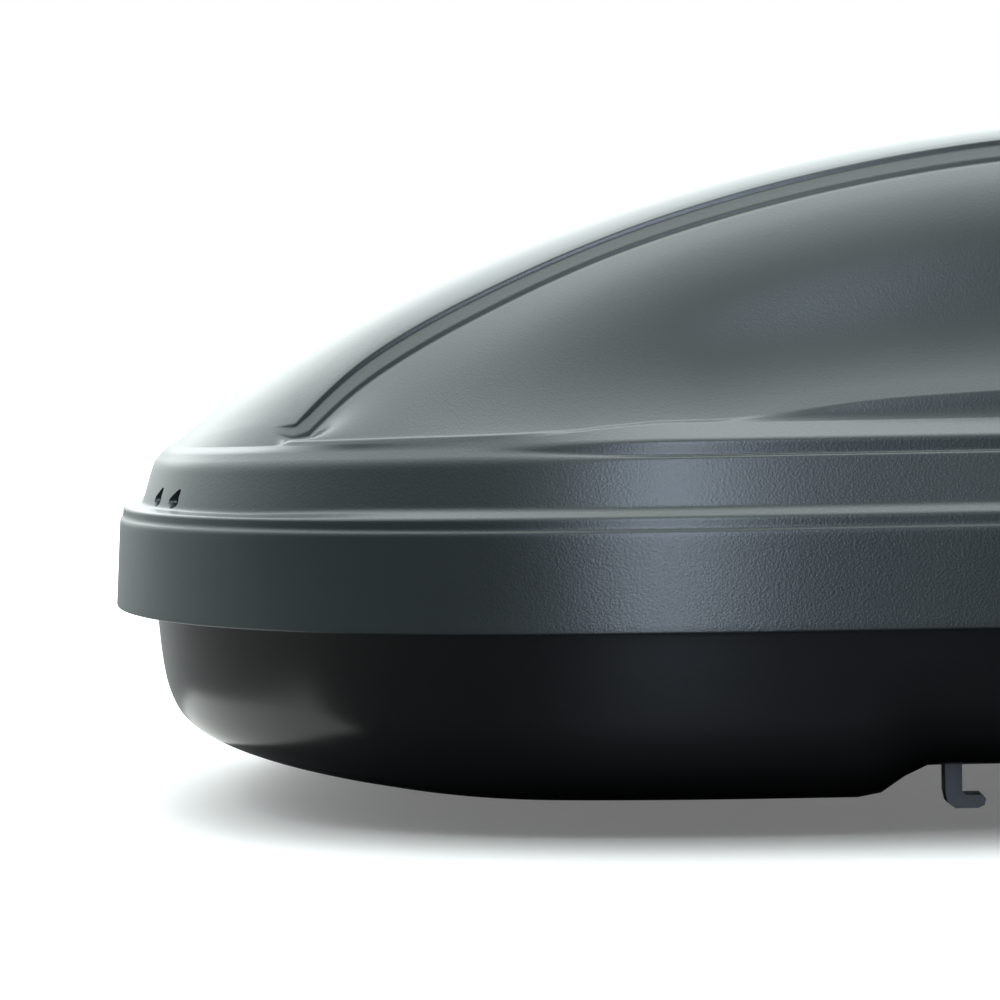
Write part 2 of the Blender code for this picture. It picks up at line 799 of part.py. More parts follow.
def make_strikers():
    steel = metal("pin_steel", STEEL, 0.25)
    for x, name in zip(STRIKER_PLACES, ("front", "middle", "rear")):
        pin = prism(
            f"striker_{name}", circle((x, STRIKER_Z), STRIKER_RADIUS), "Y", y_inside(0.0068), y_inside(0.0125), steel
        )
        foot = prism(
            "foot", circle((x, STRIKER_Z), 0.006), "Y", y_inside(0.0117), y_inside(LIP_INSET - GAP), steel
        )
        join(pin, foot)


def make_rail_guides():
    """Hooks on the skirt's inside that carry the rail's upper edge."""
    black = plastic("guide_plastic", DARK_GREY, 0.5)
    top = RAIL_HEIGHTS[1] + 0.0006
    outer = skirt_inside(top + 0.006) + GAP
    inner = RAIL_INSETS[1] + 0.0004
    outline = [
        (y_inside(outer), top),
        (y_inside(inner), top),
        (y_inside(inner), top - 0.008),
        (y_inside(inner + 0.0014), top - 0.008),
        (y_inside(inner + 0.0014), top + 0.006),
        (y_inside(outer), top + 0.006),
    ]
    for number, x in enumerate(GUIDE_PLACES, start=1):
        prism(f"rail_guide_{number}", outline, "X", x - 0.010, x + 0.010, black)


# Lid lifters


def pivot_pin(centre, start, end, surface):
    return prism("pin", circle(centre, PIVOT_RADIUS, 12), "X", start, end, surface)


def pivot_hole(centre, x, surface):
    return prism("hole", circle(centre, PIVOT_HOLE, 12), "X", x - 0.01, x + 0.01, surface)


def lifter_spring(name, x, surface):
    """A torsion spring around the knee: a coil whose ends lie along the two arms."""
    wire = 0.0011
    coil = 0.0075
    turns = 3.25
    steps = 12
    sides = 6
    pitch = 0.0028
    start = math.radians(-110)
    path = []
    for i in range(int(turns * steps) + 1):
        angle = start + 2 * math.pi * i / steps
        path.append(Vector((x + pitch * i / steps, KNEE[0] + coil * math.cos(angle), KNEE[1] + coil * math.sin(angle))))
    path.insert(0, path[0] + (path[0] - path[1]).normalized() * SPRING_LEG)
    path.append(path[-1] + (path[-1] - path[-2]).normalized() * SPRING_LEG)
    mesh = bmesh.new()
    rings = []
    for i, point in enumerate(path):
        along = (path[min(i + 1, len(path) - 1)] - path[max(i - 1, 0)]).normalized()
        out = (point - Vector((point.x, *KNEE))).normalized()
        across = along.cross(out).normalized()
        out = across.cross(along)
        angles = [2 * math.pi * j / sides for j in range(sides)]
        rings.append([mesh.verts.new(point + wire * (math.cos(t) * out + math.sin(t) * across)) for t in angles])
    for first, second in zip(rings, rings[1:]):
        join_rings(mesh, first, second)
    mesh.faces.new(list(reversed(rings[0])))
    mesh.faces.new(rings[-1])
    return finish(name, mesh, surface, 60)


def make_lifter(name, x):
    steel = metal("lifter_steel", ZINC)
    lower = (x - ARM_THICKNESS - GAP, x - GAP)
    upper = (x + GAP, x + ARM_THICKNESS + GAP)

    foot = box(
        f"lifter_base_bracket_{name}",
        (lower[0] - 0.004, BASE_PIVOT[0] - 0.022, PLATE_TOP + GAP),
        (lower[0] + 0.022, BASE_PIVOT[0] + 0.022, PLATE_TOP + GAP + 0.003),
        steel,
    )
    upright = [(BASE_PIVOT[0] - 0.016, PLATE_TOP + 0.002), (BASE_PIVOT[0] + 0.016, PLATE_TOP + 0.002)]
    upright += arc(BASE_PIVOT, 0.008, 0, 180, 6)
    join(
        foot,
        prism("upright", upright, "X", lower[0] - 0.004, lower[0] - GAP, steel),
        pivot_pin(BASE_PIVOT, lower[0] - 0.002, lower[1] + 0.001, steel),
    )

    arm = prism(f"lifter_lower_arm_{name}", stadium(BASE_PIVOT, KNEE, ARM_HALF_WIDTH), "X", *lower, steel)
    cut(arm, pivot_hole(BASE_PIVOT, x, steel))
    join(arm, pivot_pin(KNEE, lower[0] - 0.011, upper[1] + 0.002, steel))
    set_origin(arm, (x, *BASE_PIVOT))

    upper_arm = prism(f"lifter_upper_arm_{name}", stadium(LID_PIVOT, KNEE, ARM_HALF_WIDTH), "X", *upper, steel)
    cut(upper_arm, pivot_hole(LID_PIVOT, x, steel), pivot_hole(KNEE, x, steel))
    set_origin(upper_arm, (x, *LID_PIVOT))

    hang = arc(LID_PIVOT, 0.008, 180, 360, 6)
    hang += [(LID_PIVOT[0] + 0.014, LID_PIVOT[1] + 0.0040), (LID_PIVOT[0] - 0.002, LID_PIVOT[1] + 0.0150)]
    bracket = prism(f"lifter_lid_bracket_{name}", hang, "X", upper[1] + GAP, upper[1] + 0.0040, steel)
    join(bracket, pivot_pin(LID_PIVOT, upper[0] - 0.001, upper[1] + 0.003, steel))

    lifter_spring(f"lifter_spring_{name}", lower[0] - 0.0105, metal("spring_steel", SPRING_GREY, 0.4))


# Clamps


def make_clamp(bar, side, name):
    black = plastic("clamp_plastic", DARK_GREY, 0.5)
    x = BAR_PLACES[bar]
    y = side * CLAMP_Y
    bottom = PLATE_TOP + GAP
    top = bottom + HOUSING_HEIGHT
    reach = HOUSING_HALF_LENGTH
    outline = [(x - reach, bottom), (x + reach, bottom)]
    outline += [(x + reach, bottom + 0.017), (x + reach - 0.012, top - 0.003), (x + 0.030, top)]
    outline += [(x - 0.030, top), (x - reach + 0.012, top - 0.003), (x - reach, bottom + 0.017)]
    width = HOUSING_HALF_WIDTH
    housing = prism(f"clamp_housing_{name}", outline, "Y", y - width, y + width, black)
    wall = 0.003
    inner = [(x - reach + wall, bottom - 0.01), (x + reach - wall, bottom - 0.01)]
    inner += [(x + reach - wall, bottom + 0.016), (x + reach - 0.014, top - 0.006), (x + 0.030, top - wall)]
    inner += [(x - 0.030, top - wall), (x - reach + 0.014, top - 0.006), (x - reach + wall, bottom + 0.016)]
    hollow = prism("hollow", inner, "Y", y - width + wall, y + width - wall, black)
    bore = prism("bore", circle((x, y), 0.0056, 12), "Z", 0.0, 0.1, black)
    cut(housing, hollow, bore)
    make_knob(f"clamp_knob_{name}", x, y, bottom, top + GAP)
    for end, letter in ((-1, "fore"), (1, "aft")):
        make_claw(f"clamp_claw_{letter}_{name}", x, y, end)


def make_knob(name, x, y, bottom, top):
    """A lobed knob on the screw that spreads and closes the claws."""
    grip = plastic("knob_plastic", BLACK, 0.5)
    lobes = 6
    steps = 36
    outline = []
    for i in range(steps):
        angle = 2 * math.pi * i / steps
        radius = 0.0225 + 0.0020 * math.cos(lobes * angle)
        outline.append((x + radius * math.cos(angle), y + radius * math.sin(angle)))
    knob = prism(name, outline, "Z", top, top + 0.018, grip)
    boss = prism("boss", circle((x, y), 0.013, 18), "Z", top + 0.017, top + 0.021, grip)
    screw = prism("screw", circle((x, y), 0.0050, 12), "Z", bottom + 0.002, top + 0.001, grip)
    join(knob, boss, screw)
    return set_origin(knob, (x, y, top))


def make_claw(name, x, y, end):
    """A hook that swings about Y. It hangs through the floor and grips under the bar."""
    steel = metal("claw_steel", SPRING_GREY, 0.45)
    pivot = (CLAW_PIVOT_X, CLAW_PIVOT_Z)
    outline = arc(pivot, 0.0080, 0, 180, 6)
    outline += [
        (0.0435, 0.008),
        (0.0435, -0.0300),
        (0.0410, -0.0320),
        (0.0300, -0.0320),
        (0.0280, -0.0345),
        (0.0290, -0.0385),
        (0.0330, -0.0405),
        (0.0480, -0.0405),
        (0.0530, -0.0370),
        (0.0545, -0.0300),
        (0.0545, 0.008),
    ]
    placed = [(x + end * a, b) for a, b in outline]
    half = CLAW_WIDTH / 2
    claw = prism(name, placed, "Y", y - half, y + half, steel)
    return set_origin(claw, (x + end * pivot[0], y, pivot[1]))


# Straps


def strap_ribbon(name, path, start, end, thickness, surface):
    """A flat strap: a path in Y and Z, this wide along X."""
    upper = []
    lower = []
    for i, (y, z) in enumerate(path):
        before = path[max(i - 1, 0)]
        after = path[min(i + 1, len(path) - 1)]
        size = math.dist(before, after)
        normal = (-(after[1] - before[1]) / size, (after[0] - before[0]) / size)
        upper.append((y + normal[0] * thickness / 2, z + normal[1] * thickness / 2))
        lower.append((y - normal[0] * thickness / 2, z - normal[1] * thickness / 2))
    return prism(name, upper + list(reversed(lower)), "X", start, end, surface)


def make_straps():
    webbing = material("webbing", WEBBING, 0.85, 0.0)
    black = plastic("buckle_plastic", BLACK, 0.4)
    height = WALL + 0.0018
    for x, name in zip(STRAP_PLACES, ("front", "rear")):
        half = STRAP_WIDTH / 2
        path = [(-0.322, height), (-0.10, height), (-0.09, height + 0.004), (-0.07, height + 0.004)]
        path += [(-0.06, height), (0.322, height)]
        strap_ribbon(f"luggage_strap_{name}", path, x - half, x + half, 0.0020, webbing)
        buckle = box(
            f"strap_buckle_{name}",
            (x - half - 0.005, -0.099, height + 0.0060),
            (x + half + 0.005, -0.061, height + 0.0120),
            black,
        )
        bevel = buckle.modifiers.new("Edge", "BEVEL")
        bevel.width = 0.0015
        bevel.segments = 2
    x = PULL_STRAP_X
    path = [(-0.3700, 0.1990), (-0.3740, 0.1920), (-0.3770, 0.1620), (-0.3740, 0.1120), (-0.3720, 0.0770)]
    strap_ribbon("pull_strap", path, x - 0.0125, x + 0.0125, 0.0018, webbing)


def main():
    clear_scene()
    places = stations()
    make_lid(places)
    make_base(places)
    make_floor_plates()
    make_hinges()
    make_lock()
    make_strikers()
    make_rail_guides()
    for x, name in zip(LIFTER_PLACES, ("front", "rear")):
        make_lifter(name, x)
    for bar, bar_name in enumerate(("front", "rear")):
        for side, side_name in ((-1, "left"), (1, "right")):
            make_clamp(bar, side, f"{bar_name}_{side_name}")
    make_straps()


main()
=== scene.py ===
"""The looks of a roof cargo box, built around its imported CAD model.

The lid and the base are modelled again with rounded edges, and the straps as webbing with sewn ends. Rivet
and bolt heads are added. The other CAD pieces keep their shape, with bevelled edges and procedural materials.
Metres, +Z up, the nose towards -X and the opening side towards -Y.
"""

import json
import math
from collections import namedtuple

import bmesh
import bpy
from mathutils import Matrix, Vector


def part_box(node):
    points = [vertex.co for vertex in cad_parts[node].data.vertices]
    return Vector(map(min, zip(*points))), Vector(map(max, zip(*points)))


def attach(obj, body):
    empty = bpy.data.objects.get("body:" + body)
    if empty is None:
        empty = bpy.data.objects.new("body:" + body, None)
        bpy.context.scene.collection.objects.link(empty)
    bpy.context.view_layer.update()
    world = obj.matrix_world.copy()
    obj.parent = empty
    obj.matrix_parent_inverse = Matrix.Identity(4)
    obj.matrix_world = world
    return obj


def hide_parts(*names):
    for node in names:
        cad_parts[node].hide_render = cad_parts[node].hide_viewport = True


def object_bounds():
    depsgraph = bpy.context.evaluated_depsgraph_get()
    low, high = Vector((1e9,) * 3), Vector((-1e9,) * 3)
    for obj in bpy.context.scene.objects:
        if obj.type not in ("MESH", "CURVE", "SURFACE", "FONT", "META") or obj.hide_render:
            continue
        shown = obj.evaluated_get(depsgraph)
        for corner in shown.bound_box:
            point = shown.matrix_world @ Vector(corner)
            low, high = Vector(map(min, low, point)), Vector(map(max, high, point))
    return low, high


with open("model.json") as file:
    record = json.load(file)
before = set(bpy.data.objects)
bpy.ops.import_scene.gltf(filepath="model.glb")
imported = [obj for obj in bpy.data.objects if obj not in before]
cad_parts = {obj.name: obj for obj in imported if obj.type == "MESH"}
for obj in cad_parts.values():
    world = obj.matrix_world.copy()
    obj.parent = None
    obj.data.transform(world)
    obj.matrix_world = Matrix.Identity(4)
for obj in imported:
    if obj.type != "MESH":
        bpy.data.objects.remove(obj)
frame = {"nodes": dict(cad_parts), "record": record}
CAD_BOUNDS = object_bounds()

# Sizes taken from the CAD
LID_LOW, LID_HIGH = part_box("lid_shell")
HALF_WIDTH = (LID_HIGH[1] - LID_LOW[1]) / 2
NOSE_X = LID_LOW[0]
TAIL_X = LID_HIGH[0]
SKIRT_BOTTOM = LID_LOW[2]
LIP_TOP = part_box("base_shell")[1][2]
WALL = 0.004

# Plan outline
NOSE_REACH = 0.474
TAIL_REACH = 0.250
NOSE_POWERS = (2.67, 2.61)
TAIL_POWERS = (2.8, 2.8)
NOSE_STEPS = 130
SIDE_STEPS = 70
TAIL_STEPS = 44
ROUND_STEPS = 4

# Heights and insets of the lid's rim
SKIRT_TOP = SKIRT_BOTTOM + 0.061
RISER_TOP = SKIRT_BOTTOM + 0.070
BAND_FOOT = SKIRT_BOTTOM + 0.0755
BAND_TOP = SKIRT_BOTTOM + 0.106
HOOD_FOOT = SKIRT_BOTTOM + 0.099
PANEL_FOOT = SKIRT_BOTTOM + 0.1195
PANEL_CLIMB = 0.0205
HOOD_INSET = 0.038
NOSE_PULL = 0.007  # how much further in the band leans at the nose
NOSE_DROP = 0.0065  # how much lower the band's top is at the nose
SHOULDER_RISE = (0.240, 0.380)
SHOULDER_FALL = (1.420, 1.560)
PINCH = 0.008
PINCH_RISE = (0.06, 0.17)
PINCH_FALL = (0.26, 0.40)

# Hood on the centre line: where it peaks, and its reach, power and root towards each end
CROWN_RISE = 0.227
CROWN_PEAK = 0.850
NOSE_CROWN = (0.820, 2.6, 1.1)
TAIL_CROWN = (0.870, 3.0, 1.4)
HOOD_LINES = 16

# Base
LIP_INSET = 0.013
FLANGE_HEIGHT = LIP_TOP - 0.038
WALL_TOP = LIP_TOP - 0.046
FLOOR_INSET = 0.080
BELLY_DEPTH = 0.0195
BELLY_BACK = (0.494, 0.534)
CLAW_SLOT_X = (0.040, 0.067)
CLAW_SLOT_Z = (-0.010, 0.020)
CLAW_SLOT_HALF = 0.013

# Side lens: the recessed panel and the groove above it
LENS_START = 0.127
LENS_END = 1.665
RIDGE_SIDE = 0.278
GROOVE_WIDTH = 0.010
GROOVE_DROP = 0.0153
# The groove's steep wall from its foot up, as (out from the ridge, down from the ridge, radius)
GROOVE_WALL = ((0.0080, 0.0140, 0.0010), (0.0070, 0.0108, 0.0012), (0.0004, 0.0034, 0.0012))
PANEL_LINES = 16

# Openings in the lid
LOCK_HOLE_RADIUS = 0.0129
LOCK_HOLE_Y = (-0.5, -0.35)
VENT_SIDES = (0.176, 0.211)
VENT_Z = SKIRT_BOTTOM + 0.0772
VENT_SIZE = (0.017, 0.0090)
VENT_TAIL = (0.005, 0.0085)
VENT_TAIL_HALF = 0.0026
VENT_DEPTH = (0.015, 0.085)

# Camera: it looks along +Y at the nose half of the opening side, a little from above and a little rolled
CAMERA_TARGET = Vector((-0.6064, -HALF_WIDTH, 0.1740))
CAMERA_DISTANCE = 2.2054
CAMERA_ELEVATION = math.radians(2.50)
CAMERA_ROLL = math.radians(1.06)
CAMERA_LENS = 132.15

# Floor
FLOOR_CLEARANCE = 0.0006
FLOOR_REACH = 14.0
SHADOW_LIFT = 0.16  # painted light: how bright the camera sees the darkest part of the floor, in the box's shadow
PAINTED_FLOOR_SHADE = (0.020, 0.023, 0.026)  # painted shade: the floor's dark tone to all but the camera
PAINTED_NOSE_LIGHT = (0.10, 0.10, 0.10)  # painted light: a brighter tone ahead of the nose, to all but the camera

# Surfaces
TONE_DRIFT = 0.10
YARN_PITCH = 0.0016
WEBBING_COLOUR = (0.022, 0.022, 0.025)
EDGE_BEVEL = 0.0004

# Straps and fasteners
STRAP_THICKNESS = 0.0017
PULL_STRAP_THICKNESS = 0.0018
STRAP_FOLD = 0.034
STITCH_MARGIN = 0.004
STITCHES = 9
GRIP_TEETH = 5
STUD_SIDES = 14
PLATE_RIVET_SIDES = (0.120, 0.256)
LID_LEAF_DROPS = (0.008, 0.026)
LEAF_END = 0.010  # from a hinge leaf's end to its rivets
LEAF_THICKNESS = 0.002
LEAF_LEAN = 0.065  # how much the lid's hinge leaves lean in with height

Station = namedtuple("Station", "x y inward_x inward_y along blunt")


def smooth_step(value, start, end):
    share = min(max((value - start) / (end - start), 0.0), 1.0)
    return share * share * (3 - 2 * share)


# Materials


class Shader:
    """A new node material with a Principled shader and a few short ways to add nodes."""

    def __init__(self, name):
        self.material = bpy.data.materials.new(name)
        self.material.use_nodes = True
        self.tree = self.material.node_tree
        self.surface = self.tree.nodes["Principled BSDF"]
        self.coordinates = self.tree.nodes.new("ShaderNodeTexCoord").outputs["Object"]

    def node(self, kind, inputs=(), **settings):
        made = self.tree.nodes.new(kind)
        for key, value in settings.items():
            setattr(made, key, value)
        for key, value in dict(inputs).items():
            self.give(made.inputs[key], value)
        return made

    def give(self, socket, value):
        if isinstance(value, bpy.types.NodeSocket):
            self.tree.links.new(value, socket)
        elif isinstance(value, tuple) and len(value) == 3 and socket.type == "RGBA":
            socket.default_value = (*value, 1.0)
        else:
            socket.default_value = value

    def noise(self, scale, detail=2.0, stretch=(1.0, 1.0, 1.0)):
        placed = self.node("ShaderNodeMapping", {"Vector": self.coordinates, "Scale": stretch})
        inputs = {"Vector": placed.outputs["Vector"], "Scale": scale, "Detail": detail}
        return self.node("ShaderNodeTexNoise", inputs).outputs["Fac"]

    def cells(self, scale):
        inputs = {"Vector": self.coordinates, "Scale": scale}
        return self.node("ShaderNodeTexVoronoi", inputs, feature="SMOOTH_F1").outputs["Distance"]

    def ranged(self, value, low, high, new_low, new_high):
        inputs = {"Value": value, "From Min": low, "From Max": high, "To Min": new_low, "To Max": new_high}
        return self.node("ShaderNodeMapRange", inputs).outputs["Result"]

    def math(self, operation, first, second=0.0):
        made = self.node("ShaderNodeMath", operation=operation)
        self.give(made.inputs[0], first)
        self.give(made.inputs[1], second)
        return made.outputs["Value"]

    def mix(self, share, first, second):
        made = self.node("ShaderNodeMix", data_type="RGBA")
        self.give(made.inputs["Factor"], share)
        self.give(made.inputs["A"], first)
        self.give(made.inputs["B"], second)
        return made.outputs["Result"]

    def bump(self, height, depth):
        inputs = {"Height": height, "Distance": depth, "Strength": 1.0}
        return self.node("ShaderNodeBump", inputs).outputs["Normal"]

    def edge_wear(self):
        worn = self.node("ShaderNodeNewGeometry").outputs["Pointiness"]
        return self.ranged(worn, 0.52, 0.60, 0.0, 1.0)

    def paint(self, colour, roughness, normal, metallic=0.0, **more):
        values = {"Base Color": colour, "Roughness": roughness, "Metallic": metallic, "Normal": normal}
        values.update({key.replace("_", " "): value for key, value in more.items()})
        for key, value in values.items():
            self.give(self.surface.inputs[key], value)
        return self.material


def grained_plastic(name, colour, roughness, grain=720.0, depth=0.00009):
    """Moulded plastic: fine dimples, slow changes of tone and gloss, and slightly paler edges."""
    shader = Shader(name)
    slow = shader.noise(5.0, 4.0)
    fine = shader.noise(grain * 1.9, 3.0)
    pale = tuple(channel * (1.0 + TONE_DRIFT) + 0.002 for channel in colour)
    dark = tuple(channel * (1.0 - TONE_DRIFT) for channel in colour)
    base = shader.mix(shader.ranged(slow, 0.3, 0.7, 0.0, 1.0), dark, pale)
    worn = tuple(min(channel * 1.5 + 0.01, 1.0) for channel in colour)
    base = shader.mix(shader.math("MULTIPLY", shader.edge_wear(), 0.35), base, worn)
    gloss = shader.ranged(slow, 0.3, 0.7, roughness - 0.012, roughness + 0.016)
    gloss = shader.math("ADD", gloss, shader.ranged(fine, 0.3, 0.7, -0.02, 0.02))
    dimples = shader.cells(grain)
    height = shader.math("ADD", shader.math("MULTIPLY", dimples, 0.8), shader.math("MULTIPLY", fine, 0.35))
    return shader.paint(base, gloss, shader.bump(height, depth))


def plated_steel(name, colour, roughness, stain=0.12):
    """Plated or drawn steel: fine lines along X, cloudy patches and brighter worn edges."""
    shader = Shader(name)
    lines = shader.noise(60.0, 3.0, (1.0, 40.0, 40.0))
    cloud = shader.noise(45.0, 5.0)
    dull = tuple(channel * (1.0 - stain) for channel in colour)
    bright = tuple(min(channel * (1.0 + stain), 1.0) for channel in colour)
    base = shader.mix(shader.ranged(cloud, 0.35, 0.65, 0.0, 1.0), dull, bright)
    polished = tuple(min(channel * 1.25 + 0.06, 1.0) for channel in colour)
    base = shader.mix(shader.math("MULTIPLY", shader.edge_wear(), 0.6), base, polished)
    gloss = shader.ranged(cloud, 0.3, 0.7, roughness - 0.06, roughness + 0.10)
    return shader.paint(base, gloss, shader.bump(lines, 0.00002), metallic=1.0)


def woven_webbing(name, across, along):
    """Flat webbing: rows of yarn that pass over and under each other, with a little fuzz."""
    shader = Shader(name)
    split = shader.node("ShaderNodeSeparateXYZ", {"Vector": shader.coordinates})
    turn = 2 * math.pi / YARN_PITCH
    warp = shader.math("SINE", shader.math("MULTIPLY", split.outputs[across], turn))
    weft = shader.math("SINE", shader.math("MULTIPLY", split.outputs[along], turn * 0.55))
    weave = shader.math("MULTIPLY", warp, weft)
    fuzz = shader.noise(2600.0, 2.0)
    height = shader.math("ADD", shader.math("MULTIPLY", weave, 0.5), fuzz)
    pale = tuple(channel * 2.2 + 0.004 for channel in WEBBING_COLOUR)
    base = shader.mix(shader.ranged(weave, -1.0, 1.0, 0.0, 1.0), WEBBING_COLOUR, pale)
    return shader.paint(base, 0.86, shader.bump(height, 0.00025), Sheen_Weight=0.25, Sheen_Roughness=0.5)


MATERIALS = {
    "lid_plastic": grained_plastic("lid_charcoal", (0.056, 0.071, 0.075), 0.30, depth=0.00008),
    "base_plastic": grained_plastic("base_black", (0.010, 0.010, 0.011), 0.22, 420.0, 0.000012),
    "black_fittings": grained_plastic("fitting_grey", (0.040, 0.040, 0.044), 0.52, 1100.0, 0.00006),
    "black_grips": grained_plastic("grip_black", (0.014, 0.014, 0.015), 0.62, 1300.0, 0.00008),
    "zinc_steel": plated_steel("steel_zinc", (0.50, 0.51, 0.53), 0.38),
    "bright_steel": plated_steel("steel_bright", (0.62, 0.62, 0.63), 0.26, stain=0.06),
    "dark_steel": plated_steel("steel_dark", (0.10, 0.10, 0.105), 0.46, stain=0.20),
    "lock_metal": plated_steel("lock_chrome", (0.66, 0.66, 0.68), 0.18, stain=0.05),
}
FLOOR_WEBBING = woven_webbing("webbing_floor", "X", "Y")
PULL_WEBBING = woven_webbing("webbing_pull", "X", "Z")
THREAD = grained_plastic("strap_thread", (0.10, 0.10, 0.11), 0.7, grain=2400.0)


# Outline and profiles


def quarter(reach, powers, steps):
    """A superellipse quarter as (distance towards the end, y, inward normal), from the end to the side."""
    rows = []
    for i in range(steps + 1):
        angle = math.pi / 2 * i / steps
        out = reach * abs(math.cos(angle)) ** (2 / powers[0])
        side = HALF_WIDTH * math.sin(angle) ** (2 / powers[1])
        slope_out = powers[0] * out ** (powers[0] - 1) / reach ** powers[0]
        slope_side = powers[1] * side ** (powers[1] - 1) / HALF_WIDTH ** powers[1]
        size = math.hypot(slope_out, slope_side)
        rows.append((out, side, slope_out / size, slope_side / size))
    return rows


def stations():
    """Points along the plan outline from the nose, down the -Y side, to the tail."""
    nose_centre = NOSE_X + NOSE_REACH
    tail_centre = TAIL_X - TAIL_REACH
    rows = []
    for out, side, normal_out, normal_side in quarter(NOSE_REACH, NOSE_POWERS, NOSE_STEPS):
        rows.append((nose_centre - out, -side, normal_out, normal_side))
    for i in range(1, SIDE_STEPS):
        x = nose_centre + (tail_centre - nose_centre) * i / SIDE_STEPS
        rows.append((x, -HALF_WIDTH, 0.0, 1.0))
    for out, side, normal_out, normal_side in reversed(quarter(TAIL_REACH, TAIL_POWERS, TAIL_STEPS)):
        rows.append((tail_centre + out, -side, -normal_out, normal_side))
    return [Station(x, y, nx, ny, x - NOSE_X, nx * nx) for x, y, nx, ny in rows]


def inset_point(station, inset, height):
    return (station.x + station.inward_x * inset, station.y + station.inward_y * inset, height)


def shoulder(along):
    """0 at the nose and the tail, 1 where the second step and its ledge are full."""
    return smooth_step(along, *SHOULDER_RISE) * (1 - smooth_step(along, *SHOULDER_FALL))


def pinch(along):
    """How much narrower the upper ledge is behind the nose, before the second step starts."""
    return PINCH * smooth_step(along, *PINCH_RISE) * (1 - smooth_step(along, *PINCH_FALL))


def skirt_bottom(place):
    return SKIRT_BOTTOM + 0.002 * place.blunt**2


def band_foot(place):
    return BAND_FOOT - 0.0040 * smooth_step(place.blunt, 0.05, 0.55)


def rounded(corners, steps):
    """A path through corners given as (a, b, radius), each turned into a small curve."""
    path = [corners[0][:2]]
    for before, corner, after in zip(corners, corners[1:], corners[2:]):
        middle = Vector(corner[:2])
        back, ahead = Vector(before[:2]) - middle, Vector(after[:2]) - middle
        reach_back = min(corner[2], 0.45 * back.length)
        reach_ahead = min(corner[2], 0.45 * ahead.length)
        start = middle + back.normalized() * reach_back
        end = middle + ahead.normalized() * reach_ahead
        for i in range(steps + 1):
            share = i / steps
            point = start * (1 - share) ** 2 + middle * 2 * share * (1 - share) + end * share**2
            path.append(tuple(point))
    path.append(corners[-1][:2])
    return path


def with_supports(path, every, shares=(0.08, 0.36, 0.64, 0.92)):
    """Adds points on the straight stretches that leave every corner's curve."""
    full = []
    for i, (a, b) in enumerate(zip(path, path[1:])):
        full.append(a)
        if i % every == 0:
            full += [tuple(a[k] + (b[k] - a[k]) * share for k in range(2)) for share in shares]
    full.append(path[-1])
    return full


def rim_shape(place):
    """How far the rim leans in, the height of its band's top, and how full the second step is."""
    return NOSE_PULL * place.blunt, BAND_TOP - NOSE_DROP * place.blunt, shoulder(place.along)


def lid_rim(place):
    """Skirt, first step, ledge, leaning band, second step and upper ledge, as (inset, height)."""
    pull, band_top, step = rim_shape(place)
    low = skirt_bottom(place)
    corners = [
        (0.0018, low, 0.0),
        (0.0, low, 0.0016),
        (0.0035, SKIRT_TOP, 0.0024),
        (0.0055, SKIRT_TOP + 0.0025, 0.0016),
        (0.0060, RISER_TOP, 0.0018),
        (0.0120 + pull, band_foot(place), 0.0022),
        (0.0205 + pull, band_top, 0.0045 - 0.0030 * step),
        (0.0248 + pull - 0.0017 * step, band_top + 0.0051 - 0.0041 * step, 0.0014),
        (0.0271 + pull - 0.0034 * step, band_top + 0.0079 + 0.0021 * step, 0.0024),
        (HOOD_INSET - pinch(place.along), band_top + 0.0113 + 0.0092 * step, 0.0),
    ]
    return with_supports(rounded(corners, ROUND_STEPS), ROUND_STEPS + 1)


def lid_inner_rim(place):
    """The inside of the same rim, about a wall's thickness in."""
    pull, band_top, step = rim_shape(place)
    low = skirt_bottom(place)
    corners = [
        (0.0018, low, 0.0),
        (0.0035, low, 0.0010),
        (0.0072, SKIRT_TOP - 0.004, 0.0030),
        (0.0098, RISER_TOP - 0.003, 0.0030),
        (0.0160 + pull, band_foot(place) - 0.0035, 0.0030),
        (0.0250 + pull, band_top - 0.003, 0.0030),
        (0.0300 + pull - 0.0035 * step, band_top + 0.0049 + 0.0021 * step, 0.0030),
        (HOOD_INSET - pinch(place.along) + 0.003, band_top + 0.0113 + 0.0092 * step - WALL, 0.0),
    ]
    return rounded(corners, 2)


def crown_height(along):
    """Height of the hood on the centre line."""
    reach, power, root = NOSE_CROWN if along < CROWN_PEAK else TAIL_CROWN
    share = min(abs(along - CROWN_PEAK) / reach, 1.0)
    return HOOD_FOOT + CROWN_RISE * (1 - share**power) ** (1 / root)


def hood_height(along, y, edge_y, edge_z):
    """Height of the crowned hood, which drops to its edge at the sides."""
    power = 3.8 + 2.7 * smooth_step(along, 0.03, 0.20) + 2.1 * smooth_step(along, 0.25, 0.60)
    crown = max(crown_height(along), edge_z)
    reach = min(abs(y) / (edge_y - pinch(along)), 1.0)
    return crown - (crown - edge_z) * reach**power


def bezier(points, share):
    a, b, c, d = points
    rest = 1 - share
    return tuple(
        rest**3 * a[i] + 3 * rest**2 * share * b[i] + 3 * rest * share**2 * c[i] + share**3 * d[i]
        for i in range(2)
    )


def panel_curve(top, bottom, share):
    """The side panel's section: it rolls over at the top, is steep half way and flares at the foot."""
    pull = 0.40 * math.dist(top, bottom)
    leave = (top[0] + pull * math.cos(math.radians(40)), top[1] - pull * math.sin(math.radians(40)))
    arrive = (bottom[0] - pull * math.cos(math.radians(45)), bottom[1] + pull * math.sin(math.radians(45)))
    return bezier((bottom, arrive, leave, top), share)


def panel_foot(along):
    """Height of the line where the side panel starts; it climbs from the nose towards the middle."""
    climb = smooth_step(along, 0.19, 0.70) * (1 - smooth_step(along, 1.25, LENS_END))
    return PANEL_FOOT + PANEL_CLIMB * climb - 0.0030 * (1 - smooth_step(along, 0.10, 0.23))


